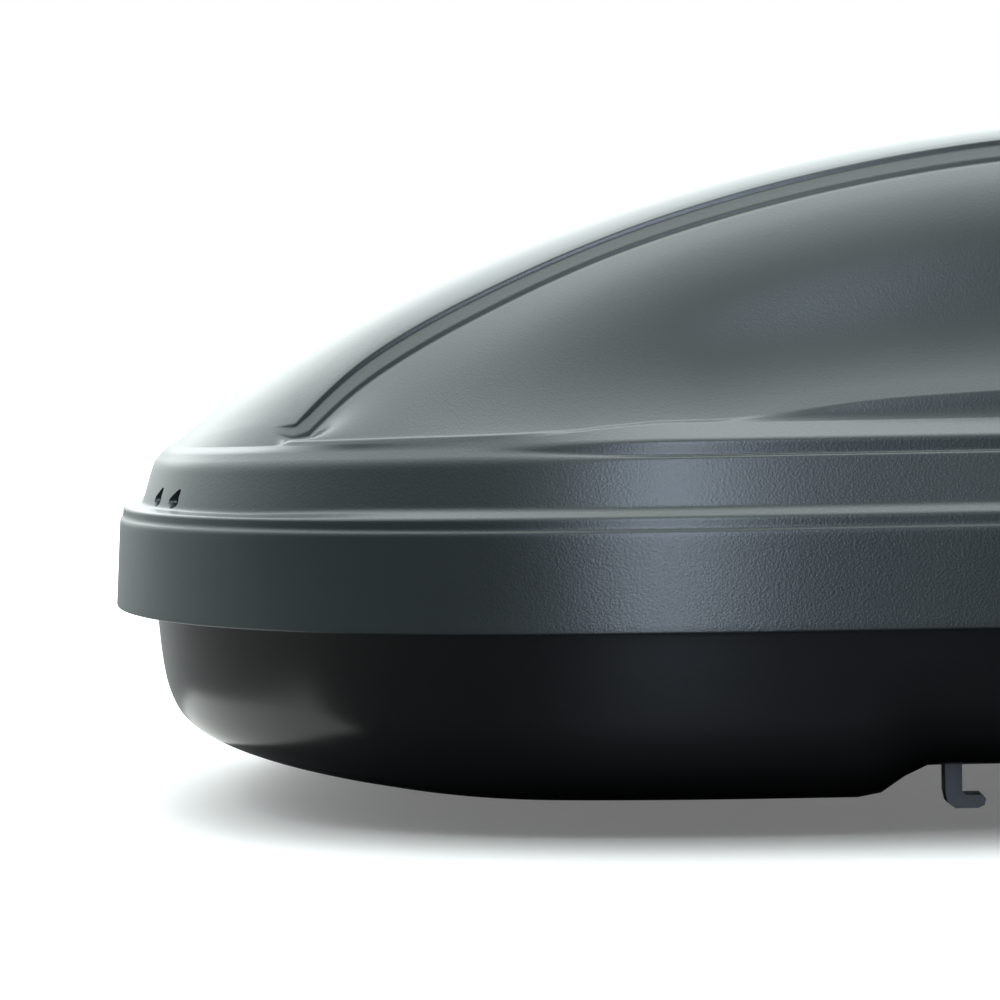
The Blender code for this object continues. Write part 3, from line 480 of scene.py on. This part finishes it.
def hood_half(along, edge_y, edge_z):
    """Half a hood section as (distance from the centre line, height), from its edge to the middle."""
    openness = smooth_step(along, LENS_START - 0.002, LENS_START + 0.011)
    openness *= 1 - smooth_step(along, LENS_END - 0.022, LENS_END + 0.003)
    ridge = min(RIDGE_SIDE, edge_y - pinch(along) - 0.012)
    ridge_z = hood_height(along, ridge, edge_y, edge_z)
    foot = (edge_y - 0.0020, max(panel_foot(along), edge_z + 0.0008))
    step = 0.0006 + 0.0050 * smooth_step(along, 0.40, 0.52) * (1 - smooth_step(along, 1.30, 1.45))
    step_top = (foot[0] - 0.0015, foot[1] + step)
    deep = 1 + 0.25 * (1 - smooth_step(along, 0.15, 0.36))
    size = min(deep, max(ridge_z - step_top[1], 0.002) / GROOVE_DROP)
    groove_foot = (ridge + GROOVE_WIDTH * size, ridge_z - GROOVE_DROP * size)
    curve = [panel_curve(groove_foot, step_top, i / PANEL_LINES) for i in range(PANEL_LINES + 1)]
    corners = [
        (edge_y, edge_z, 0.0),
        (*foot, 0.0008),
        (*step_top, 0.0010),
        (*curve[1], 0.0),
    ]
    carved = rounded(corners, 3)[1:-1] + curve[1:-1]
    groove = [
        (*curve[-2], 0.0),
        (*groove_foot, 0.0016),
        *((ridge + out * size, ridge_z - down * size, radius) for out, down, radius in GROOVE_WALL),
        (ridge, ridge_z, 0.0012),
        (ridge - 0.006, hood_height(along, ridge - 0.006, edge_y, edge_z), 0.0),
    ]
    carved += rounded(groove, 3)[1:]
    spread = smooth_step(along, LENS_START - 0.030, LENS_START - 0.004)
    spread *= 1 - smooth_step(along, LENS_END + 0.004, LENS_END + 0.030)
    start = max(carved[-1][0], 0.3 * edge_y)
    half = []
    for i, (side, height) in enumerate(carved, start=1):
        even = edge_y + (start - edge_y) * i / len(carved)
        y = even + (side - even) * spread
        plain = hood_height(along, y, edge_y, edge_z)
        half.append((y, plain + (height - plain) * openness))
    for i in range(1, HOOD_LINES + 1):
        y = start * (1 - i / HOOD_LINES)
        half.append((y, hood_height(along, y, edge_y, edge_z)))
    return half


def lid_outer_section(edge):
    return [(edge[0], -y, z) for y, z in hood_half(edge[0] - NOSE_X, -edge[1], edge[2])]


def lid_inner_section(edge):
    """The hood's inside: the outer section moved in by the wall."""
    half = hood_half(edge[0] - NOSE_X, -edge[1] + 0.002, edge[2] + WALL)
    moved = []
    for i, (y, z) in enumerate(half):
        before = half[max(i - 3, 0)]
        after = half[i + 3] if i + 3 < len(half) else (-half[len(half) - 4][0], half[len(half) - 4][1])
        run, rise = before[0] - after[0], after[1] - before[1]
        size = math.hypot(run, rise)
        moved.append((edge[0], -max(y - WALL * rise / size, 0.0), z - WALL * run / size))
    return moved


# Shells


def join_rings(mesh, first, second):
    for i in range(len(first)):
        j = (i + 1) % len(first)
        mesh.faces.new((first[i], first[j], second[j], second[i]))


def join_strip(mesh, first, second):
    if len(first) == 1:
        for a, b in zip(second, second[1:]):
            mesh.faces.new((first[0], a, b))
    elif len(second) == 1:
        for a, b in zip(first, first[1:]):
            mesh.faces.new((a, second[0], b))
    else:
        for i in range(len(first) - 1):
            mesh.faces.new((first[i], second[i], second[i + 1], first[i + 1]))


def add_skin(mesh, rows, sections):
    """Rows hold the -Y half of each ring; sections run from the last ring to the centre line."""
    rings = []
    for row in rows:
        ring = [mesh.verts.new(point) for point in row]
        ring += [mesh.verts.new((x, -y, z)) for x, y, z in reversed(row[1:-1])]
        rings.append(ring)
    for first, second in zip(rings, rings[1:]):
        join_rings(mesh, first, second)
    last = rings[-1]
    lines = [[last[0]]]
    for i, half in enumerate(sections, start=1):
        near = [mesh.verts.new(point) for point in half]
        far = [mesh.verts.new((x, -y, z)) for x, y, z in reversed(half[:-1])]
        lines.append([last[i], *near, *far, last[len(last) - i]])
    lines.append([last[len(last) // 2]])
    for first, second in zip(lines, lines[1:]):
        join_strip(mesh, first, second)
    return rings[0]


def finish_mesh(name, mesh, surface, angle=60):
    bmesh.ops.recalc_face_normals(mesh, faces=mesh.faces)
    data = bpy.data.meshes.new(name)
    mesh.to_mesh(data)
    mesh.free()
    data.shade_smooth()
    data.set_sharp_from_angle(angle=math.radians(angle))
    made = bpy.data.objects.new(name, data)
    bpy.context.scene.collection.objects.link(made)
    data.materials.append(surface)
    return made


def shell(name, places, outer, inner, surface):
    """Two skins, each a (profile, section) pair, joined along their first rings."""
    mesh = bmesh.new()
    edges = []
    for profile, section in (outer, inner):
        stacks = [profile(place) for place in places]
        rows = [
            [inset_point(place, *stack[level]) for place, stack in zip(places, stacks)]
            for level in range(len(stacks[0]))
        ]
        sections = [section(point) for point in rows[-1][1:-1]]
        edges.append(add_skin(mesh, rows, sections))
    join_rings(mesh, *edges)
    bmesh.ops.remove_doubles(mesh, verts=mesh.verts, dist=0.00002)
    return finish_mesh(name, mesh, surface)


def prism(name, outline, axis, start, end, surface):
    """A flat outline pushed along X, Y or Z. Its points are (Y, Z), (X, Z) or (X, Y)."""
    place = {
        "X": lambda a, b, c: (c, a, b),
        "Y": lambda a, b, c: (a, c, b),
        "Z": lambda a, b, c: (a, b, c),
    }[axis]
    mesh = bmesh.new()
    near = [mesh.verts.new(place(a, b, start)) for a, b in outline]
    far = [mesh.verts.new(place(a, b, end)) for a, b in outline]
    mesh.faces.new(near)
    mesh.faces.new(list(reversed(far)))
    join_rings(mesh, near, far)
    return finish_mesh(name, mesh, surface, 30)


def cut(target, tools):
    """Takes the tools out of the target and deletes them."""
    for tool in tools:
        modifier = target.modifiers.new("Cut", "BOOLEAN")
        modifier.operation = "DIFFERENCE"
        modifier.solver = "EXACT"
        modifier.object = tool
    bpy.context.view_layer.update()
    graph = bpy.context.evaluated_depsgraph_get()
    result = bpy.data.meshes.new_from_object(target.evaluated_get(graph))
    target.modifiers.clear()
    target.data = result
    for tool in tools:
        bpy.data.objects.remove(tool, do_unlink=True)
    result.set_sharp_from_angle(angle=math.radians(50))


def circle(centre, radius, steps=48):
    turns = [2 * math.pi * i / steps for i in range(steps)]
    return [(centre[0] + radius * math.cos(t), centre[1] + radius * math.sin(t)) for t in turns]


def teardrop(side, middle, height):
    """A round end with a narrower tail above it that leans outwards, as (y, z)."""
    half, rise = VENT_SIZE[0] / 2, VENT_SIZE[1] / 2
    points = []
    for i in range(21):
        angle = math.radians(150 + 12 * i)
        points.append((side * (middle + half * math.cos(angle)), height + rise * math.sin(angle)))
    tip = middle + VENT_TAIL[0]
    top = height + VENT_TAIL[1]
    low = top - 0.001
    points += [(side * (tip + VENT_TAIL_HALF), low), (side * tip, top), (side * (tip - VENT_TAIL_HALF), low)]
    return points


def make_lid(places):
    surface = MATERIALS["lid_plastic"]
    lid = shell("lid", places, (lid_rim, lid_outer_section), (lid_inner_rim, lid_inner_section), surface)
    low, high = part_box("lock_cylinder")
    middle = ((low[0] + high[0]) / 2, (low[2] + high[2]) / 2)
    tools = [prism("lock_hole", circle(middle, LOCK_HOLE_RADIUS), "Y", *LOCK_HOLE_Y, surface)]
    for offset in VENT_SIDES:
        for side in (-1, 1):
            outline = teardrop(side, offset, VENT_Z)
            tools.append(prism("vent", outline, "X", NOSE_X + VENT_DEPTH[0], NOSE_X + VENT_DEPTH[1], surface))
    cut(lid, tools)
    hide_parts("lid_shell")
    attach(lid, "lid")


# Base


def belly(along):
    """1 where the base hangs lowest, in front of the front bar, and 0 on the flat deck."""
    return 1 - smooth_step(along, *BELLY_BACK)


def floor_height(along):
    """Height of the underside: it curves down from the nose, is flat on the deck and lifts at the tail."""
    reach = min(max((0.300 - along) / 0.240, 0.0), 1.0)
    return belly(along) * (0.0315 * reach**2 - BELLY_DEPTH) + 0.014 * smooth_step(along, 1.430, 1.690)


def floor_edge(place):
    """Height of the underside where the corner radius ends."""
    return floor_height(place.along + place.inward_x * FLOOR_INSET)


def base_outer_profile(place):
    edge = floor_edge(place)
    corners = [
        (LIP_INSET + WALL / 2, LIP_TOP, 0.0),
        (LIP_INSET, LIP_TOP, 0.0012),
        (LIP_INSET, FLANGE_HEIGHT, 0.0020),
        (0.0250, WALL_TOP + 0.0015, 0.0020),
        (0.0275, WALL_TOP - 0.006, 0.0040),
        (0.0300, 0.060, 0.0120),
        (0.0335, 0.034 + 0.6 * edge, 0.0120),
        (0.0410, 0.015 + 0.8 * edge, 0.0090),
        (0.0540, 0.0045 + 0.95 * edge, 0.0090),
        (FLOOR_INSET, edge, 0.0),
    ]
    return rounded(corners, 4)


def base_inner_profile(place):
    edge = floor_edge(place)
    corners = [
        (LIP_INSET + WALL / 2, LIP_TOP, 0.0),
        (LIP_INSET + WALL, LIP_TOP, 0.0012),
        (LIP_INSET + WALL, FLANGE_HEIGHT + 0.003, 0.0020),
        (0.0285, WALL_TOP + 0.005, 0.0020),
        (0.0315, WALL_TOP - 0.006, 0.0040),
        (0.0340, 0.060, 0.0100),
        (0.0375, 0.0355 + 0.6 * edge, 0.0100),
        (0.0445, 0.0175 + 0.8 * edge, 0.0080),
        (0.0560, 0.0083 + 0.95 * edge, 0.0080),
        (FLOOR_INSET, edge + WALL, 0.0),
    ]
    return rounded(corners, 3)


def floor_section(edge, lift):
    """The floor from its edge to the centre line; the belly sags a little more in the middle."""
    half = []
    along = edge[0] - NOSE_X
    for i in range(1, 13):
        share = 1 - i / 12
        sag = 0.002 * belly(along) * (1 - share**4)
        half.append((edge[0], edge[1] * share, floor_height(along) - sag + lift))
    return half


def base_outer_section(edge):
    return floor_section(edge, 0.0)


def base_inner_section(edge):
    return floor_section(edge, WALL)


def make_base(places):
    surface = MATERIALS["base_plastic"]
    outer = (base_outer_profile, base_outer_section)
    inner = (base_inner_profile, base_inner_section)
    base = shell("base", places, outer, inner, surface)
    tools = []
    for bar in ("front", "rear"):
        for side in ("left", "right"):
            low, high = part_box(f"clamp_housing_{bar}_{side}")
            middle = ((low[0] + high[0]) / 2, (low[1] + high[1]) / 2)
            for end in (-1, 1):
                first, last = sorted(middle[0] + end * reach for reach in CLAW_SLOT_X)
                outline = [
                    (first, middle[1] - CLAW_SLOT_HALF),
                    (last, middle[1] - CLAW_SLOT_HALF),
                    (last, middle[1] + CLAW_SLOT_HALF),
                    (first, middle[1] + CLAW_SLOT_HALF),
                ]
                tools.append(prism("slot", outline, "Z", *CLAW_SLOT_Z, surface))
    cut(base, tools)
    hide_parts("base_shell")
    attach(base, "base")


# CAD pieces that keep their shape


def dress_cad():
    """Gives every CAD piece but the straps the material of its slot and a small bevel on its sharp edges."""
    slots = {part["node"]: part["material_slot"] for part in frame["record"]["subparts"]}
    for name, part in frame["nodes"].items():
        surface = MATERIALS.get(slots[name])
        if surface is None:
            continue
        part.data.materials.clear()
        part.data.materials.append(surface)
        bevel = part.modifiers.new("Edges", "BEVEL")
        bevel.width = EDGE_BEVEL
        bevel.segments = 2
        bevel.limit_method = "ANGLE"
        bevel.angle_limit = math.radians(40)


# Straps


def ribbon(name, path, start, end, thickness, surface):
    """A flat strap with soft edges: a path in Y and Z, this wide along X."""
    points = [Vector(point) for point in path]
    half = thickness / 2
    width = end - start
    soft = 0.0012
    section = [(0.0, 0.3), (soft, 1.0), (width * 0.25, 1.05), (width * 0.5, 1.0), (width * 0.75, 1.05)]
    section += [(width - soft, 1.0), (width, 0.3), (width, -0.3), (width - soft, -1.0), (soft, -1.0)]
    section.append((0.0, -0.3))
    mesh = bmesh.new()
    rings = []
    for i, point in enumerate(points):
        ahead = points[min(i + 1, len(points) - 1)] - points[max(i - 1, 0)]
        normal = Vector((-ahead.y, ahead.x)).normalized()
        ring = []
        for offset, lift in section:
            spot = point + normal * lift * half
            ring.append(mesh.verts.new((start + offset, spot.x, spot.y)))
        rings.append(ring)
    for first, second in zip(rings, rings[1:]):
        join_rings(mesh, first, second)
    mesh.faces.new(rings[0])
    mesh.faces.new(list(reversed(rings[-1])))
    return finish_mesh(name, mesh, surface, 50)


def smooth_path(points, steps=8):
    """A Catmull-Rom curve through the points."""
    padded = [points[0], *points, points[-1]]
    path = []
    for a, b, c, d in zip(padded, padded[1:], padded[2:], padded[3:]):
        for i in range(steps):
            s = i / steps
            weights = (-s + 2 * s**2 - s**3, 2 - 5 * s**2 + 3 * s**3, s + 4 * s**2 - 3 * s**3, s**3 - s**2)
            path.append(tuple(sum(w * p[k] for w, p in zip(weights, (a, b, c, d))) / 2 for k in range(2)))
    path.append(points[-1])
    return path


def studs(name, spots, size, rise, axis, surface):
    """Low round heads, each on its spot, raised along the axis; the size is along the two other axes."""
    across = {"X": (1, 2), "Y": (0, 2), "Z": (0, 1)}[axis[-1]]
    up = "XYZ".index(axis[-1])
    sign = -1 if axis[0] == "-" else 1
    mesh = bmesh.new()
    for spot in spots:
        rings = []
        for share, height in ((1.0, -0.4), (1.0, 0.3), (0.86, 0.72), (0.5, 0.97)):
            ring = []
            for i in range(STUD_SIDES):
                turn = 2 * math.pi * i / STUD_SIDES
                point = list(spot)
                point[across[0]] += size[0] * share * math.cos(turn)
                point[across[1]] += size[1] * share * math.sin(turn)
                point[up] += sign * rise * height
                ring.append(mesh.verts.new(point))
            rings.append(ring)
        for first, second in zip(rings, rings[1:]):
            join_rings(mesh, first, second)
        mesh.faces.new(rings[0])
        mesh.faces.new(rings[-1])
    return finish_mesh(name, mesh, surface, 50)


def carry(piece, body, slot, *nodes):
    """Hands a piece to its body, in place of these CAD nodes; the slot is not used."""
    if nodes:
        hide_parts(*nodes)
    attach(piece, body)


def make_floor_strap(name):
    """A luggage strap with folded, stitched ends and a loose tail that leaves the buckle."""
    low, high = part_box(f"luggage_strap_{name}")
    buckle_low, buckle_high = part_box(f"strap_buckle_{name}")
    flat = low[2] + STRAP_THICKNESS / 2
    bridge = buckle_low[2] - 0.0006 - STRAP_THICKNESS / 2
    near, far = buckle_low[1] - 0.004, buckle_high[1] + 0.004
    path = [(low[1], flat), (low[1] + 0.05, flat), ((low[1] + near) / 2, flat + 0.0003), (near - 0.006, flat)]
    path += [(near + 0.006, bridge), (far - 0.006, bridge), (far + 0.006, flat), (far + 0.1, flat + 0.0004)]
    path += [(0.12, flat), (high[1] - 0.05, flat + 0.0003), (high[1], flat)]
    strap = ribbon(f"strap_{name}", smooth_path(path), low[0], high[0], STRAP_THICKNESS, FLOOR_WEBBING)
    carry(strap, "base", "webbing", f"luggage_strap_{name}")

    upper = flat + STRAP_THICKNESS
    folds = ((low[1], low[1] + STRAP_FOLD, "near"), (high[1] - STRAP_FOLD, high[1], "far"))
    for first, last, end in folds:
        fold_path = [(first, upper), ((first + last) / 2, upper + 0.0002), (last, upper)]
        fold_name = f"strap_{name}_fold_{end}"
        fold = ribbon(fold_name, smooth_path(fold_path), low[0], high[0], STRAP_THICKNESS, FLOOR_WEBBING)
        carry(fold, "base", "webbing")
    tail_path = [(far, buckle_low[2] + 0.004), (far + 0.012, upper + 0.0012), (far + 0.05, upper + 0.0002)]
    tail_path += [(far + 0.10, upper + 0.0003), (far + 0.15, upper + 0.0022)]
    tail_name = f"strap_{name}_tail"
    start, end = low[0] + 0.0003, high[0] - 0.0003
    tail = ribbon(tail_name, smooth_path(tail_path), start, end, STRAP_THICKNESS, FLOOR_WEBBING)
    carry(tail, "base", "webbing")

    spots = []
    left, right = low[0] + STITCH_MARGIN, high[0] - STITCH_MARGIN
    top = upper + STRAP_THICKNESS / 2
    for first, last, _ in folds:
        for i in range(STITCHES):
            share = (i + 0.5) / STITCHES
            y = first + STITCH_MARGIN + (last - first - 2 * STITCH_MARGIN) * share
            spots += [(left, y, top), (right, y, top), (left + (right - left) * share, y, top)]
    thread = studs(f"strap_{name}_stitches", spots, (0.0004, 0.0010), 0.0004, "+Z", THREAD)
    carry(thread, "base", "webbing")

    rows = []
    for x in (buckle_low[0] + 0.0035, buckle_high[0] - 0.0035):
        rows += [(x, buckle_low[1] + 0.006 + 0.0065 * i, buckle_high[2]) for i in range(GRIP_TEETH)]
    teeth = studs(f"buckle_{name}_grips", rows, (0.0018, 0.0011), 0.0007, "+Z", MATERIALS["black_grips"])
    carry(teeth, "base", "black_grips")


def make_pull_strap():
    """The strap that hangs inside the skirt and pulls the lid down."""
    low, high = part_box("pull_strap")
    inner, outer = low[1] + 0.0012, high[1] - 0.0012
    path = [(outer - 0.0006, high[2] - 0.0008), (outer - 0.0040, high[2] - 0.010)]
    path += [(inner + 0.0006, high[2] - 0.040), (inner + 0.0020, high[2] - 0.085)]
    path.append((outer - 0.0045, low[2] + 0.0008))
    strap = ribbon("strap_pull", smooth_path(path), low[0], high[0], PULL_STRAP_THICKNESS, PULL_WEBBING)
    carry(strap, "lid", "webbing", "pull_strap")


# Fasteners


def make_fasteners():
    """Rivet and bolt heads on the hinge leaves, the floor plates and the lifters' feet."""
    zinc, bright = MATERIALS["zinc_steel"], MATERIALS["bright_steel"]
    plate_spots = []
    foot_spots = []
    for bar in ("front", "rear"):
        low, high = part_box(f"floor_plate_{bar}")
        for x in (low[0] + 0.009, high[0] - 0.009):
            plate_spots += [(x, side * y, high[2]) for side in (-1, 1) for y in PLATE_RIVET_SIDES]
        low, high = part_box(f"lifter_base_bracket_{bar}")
        foot_spots += [(high[0] - 0.006, y, low[2] + 0.003) for y in (low[1] + 0.008, high[1] - 0.008)]
    rivets = studs("plate_rivets", plate_spots, (0.0042, 0.0042), 0.0016, "+Z", zinc)
    carry(rivets, "base", "zinc_steel")
    bolts = studs("lifter_bolts", foot_spots, (0.0038, 0.0038), 0.0022, "+Z", zinc)
    carry(bolts, "base", "zinc_steel")

    base_spots = []
    lid_spots = []
    for place in ("front", "middle", "rear"):
        low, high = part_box(f"hinge_base_leaf_{place}")
        for x in (low[0] + LEAF_END, high[0] - LEAF_END):
            base_spots.append((x, low[1] + LEAF_THICKNESS, low[2] + 0.009))
        low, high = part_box(f"hinge_lid_leaf_{place}")
        for x in (low[0] + LEAF_END, high[0] - LEAF_END):
            for drop in LID_LEAF_DROPS:
                lean = LEAF_LEAN * (high[2] - drop - SKIRT_BOTTOM)
                lid_spots.append((x, high[1] - LEAF_THICKNESS - lean, high[2] - drop))
    for body, spots, axis in (("base", base_spots, "+Y"), ("lid", lid_spots, "-Y")):
        rivets = studs(f"hinge_rivets_{body}", spots, (0.0030, 0.0030), 0.0014, axis, bright)
        carry(rivets, body, "bright_steel")


# Scene


def make_floor():
    """A pale floor that fades to plain white away from the box. Only the camera sees it this bright, as it
    emits painted light that lifts the box's shadow; every other ray sees painted tones.
    """
    z = CAD_BOUNDS[0][2] - FLOOR_CLEARANCE
    mesh = bmesh.new()
    corners = ((-1, -1), (1, -1), (1, 1), (-1, 1))
    mesh.faces.new([mesh.verts.new((FLOOR_REACH * x, FLOOR_REACH * y, z)) for x, y in corners])
    shader = Shader("studio_floor")
    seen = shader.node("ShaderNodeLightPath").outputs["Is Camera Ray"]
    distance = shader.node("ShaderNodeVectorMath", {0: shader.coordinates}, operation="LENGTH")
    away = shader.ranged(distance.outputs["Value"], 1.0, 2.6, 0.0, 1.0)
    grain = shader.mix(shader.noise(1.5, 3.0), (0.84, 0.84, 0.84), (0.90, 0.90, 0.90))
    # Painted shade and painted light for every ray but the camera's: a dark floor, with a bright patch ahead
    # of the nose that the base's nose reflects.
    side = shader.node("ShaderNodeSeparateXYZ", {"Vector": shader.coordinates}).outputs["X"]
    past_painted_nose_light = shader.ranged(side, NOSE_X - 0.5, NOSE_X + 0.2, 0.0, 1.0)
    painted_floor_tone = shader.mix(past_painted_nose_light, PAINTED_NOSE_LIGHT, PAINTED_FLOOR_SHADE)
    tone = shader.mix(seen, painted_floor_tone, grain)
    normal = shader.bump(shader.noise(900.0), 0.00005)
    shader.give(shader.surface.inputs["Emission Color"], (1.0, 1.0, 1.0))
    # Painted light: the floor emits for the camera, least near the box where its shadow falls, and fully
    # white away from it.
    painted_emission = shader.math("MULTIPLY", shader.ranged(away, 0.0, 1.0, SHADOW_LIFT, 1.0), seen)
    shader.give(shader.surface.inputs["Emission Strength"], painted_emission)
    finish_mesh("studio_floor", mesh, shader.paint(tone, 0.6, normal))


def make_world():
    """White to the camera. Everything else sees a room that is bright above and behind and dark in front."""
    world = bpy.data.worlds.new("studio")
    bpy.context.scene.world = world
    world.use_nodes = True
    nodes, links = world.node_tree.nodes, world.node_tree.links
    nodes.clear()
    output = nodes.new("ShaderNodeOutputWorld")
    mixer = nodes.new("ShaderNodeMixShader")
    path = nodes.new("ShaderNodeLightPath")
    seen = nodes.new("ShaderNodeBackground")
    seen.inputs["Color"].default_value = (1.0, 1.0, 1.0, 1.0)
    lit = nodes.new("ShaderNodeBackground")
    lit.inputs["Color"].default_value = (0.93, 1.0, 0.99, 1.0)
    coordinates = nodes.new("ShaderNodeTexCoord")
    turned = nodes.new("ShaderNodeVectorMath")
    turned.operation = "DOT_PRODUCT"
    turned.inputs[1].default_value = Vector((-0.04, 0.46, 0.85)).normalized()
    links.new(coordinates.outputs["Generated"], turned.inputs[0])
    ramp = nodes.new("ShaderNodeMapRange")
    ramp.interpolation_type = "SMOOTHSTEP"
    for key, value in {"From Min": 0.12, "From Max": 0.92, "To Min": 0.008, "To Max": 3.1}.items():
        ramp.inputs[key].default_value = value
    links.new(turned.outputs["Value"], ramp.inputs["Value"])
    links.new(ramp.outputs["Result"], lit.inputs["Strength"])
    links.new(path.outputs["Is Camera Ray"], mixer.inputs[0])
    links.new(lit.outputs["Background"], mixer.inputs[1])
    links.new(seen.outputs["Background"], mixer.inputs[2])
    links.new(mixer.outputs["Shader"], output.inputs["Surface"])


def area_light(name, place, target, size, power, colour):
    """A lamp the camera doesn't see, at a place and facing a target."""
    data = bpy.data.lights.new(name, "AREA")
    data.shape = "RECTANGLE"
    data.size, data.size_y = size
    data.energy = power
    data.color = colour
    made = bpy.data.objects.new(name, data)
    made.location = place
    made.rotation_euler = (Vector(target) - Vector(place)).to_track_quat("-Z", "Y").to_euler()
    made.visible_camera = False
    bpy.context.scene.collection.objects.link(made)
    return made


def make_lights():
    """Soft light from above and behind, a card that lifts the nose, and a strip that only gloss shows."""
    area_light("overhead", (-0.1, 0.30, 2.3), (-0.1, 0.3, 0.2), (2.8, 1.3), 20.0, (0.95, 1.0, 0.99))
    area_light("behind", (-1.0, 2.6, 1.5), (0.0, 0.0, 0.15), (3.4, 1.6), 20.0, (0.97, 1.0, 0.98))
    area_light("nose_side", (-3.0, 0.2, 0.9), (-0.7, 0.0, 0.1), (1.6, 1.6), 2.0, (0.98, 1.0, 0.97))
    card = (-0.94, -0.13, -0.035)
    area_light("floor_card", card, (card[0], card[1], 1.0), (0.24, 0.5), 0.45, (0.95, 1.0, 0.96))
    place, target = (-0.80, -3.3, 1.25), (-0.48, -0.4, 0.5)
    strip = area_light("front_strip", place, target, (0.40, 2.9), 62.0, (0.72, 0.84, 1.0))
    strip.visible_diffuse = False


def make_camera():
    back = Vector((0.0, -math.cos(CAMERA_ELEVATION), math.sin(CAMERA_ELEVATION)))
    right = Vector((1.0, 0.0, 0.0))
    up = back.cross(right)
    rolled_right = right * math.cos(CAMERA_ROLL) - up * math.sin(CAMERA_ROLL)
    rolled_up = right * math.sin(CAMERA_ROLL) + up * math.cos(CAMERA_ROLL)
    data = bpy.data.cameras.new("camera")
    data.sensor_width = 36.0
    data.lens = CAMERA_LENS
    data.clip_start = 0.05
    data.clip_end = 60.0
    camera = bpy.data.objects.new("camera", data)
    place = CAMERA_TARGET + back * CAMERA_DISTANCE
    turn = Matrix((rolled_right, rolled_up, back)).transposed()
    camera.matrix_world = Matrix.Translation(place) @ turn.to_4x4()
    bpy.context.scene.collection.objects.link(camera)
    bpy.context.scene.camera = camera


def main():
    bpy.context.scene.view_settings.view_transform = "Standard"
    places = stations()
    make_lid(places)
    make_base(places)
    dress_cad()
    for name in ("front", "rear"):
        make_floor_strap(name)
    make_pull_strap()
    make_fasteners()
    make_floor()
    make_world()
    make_lights()
    make_camera()


main()
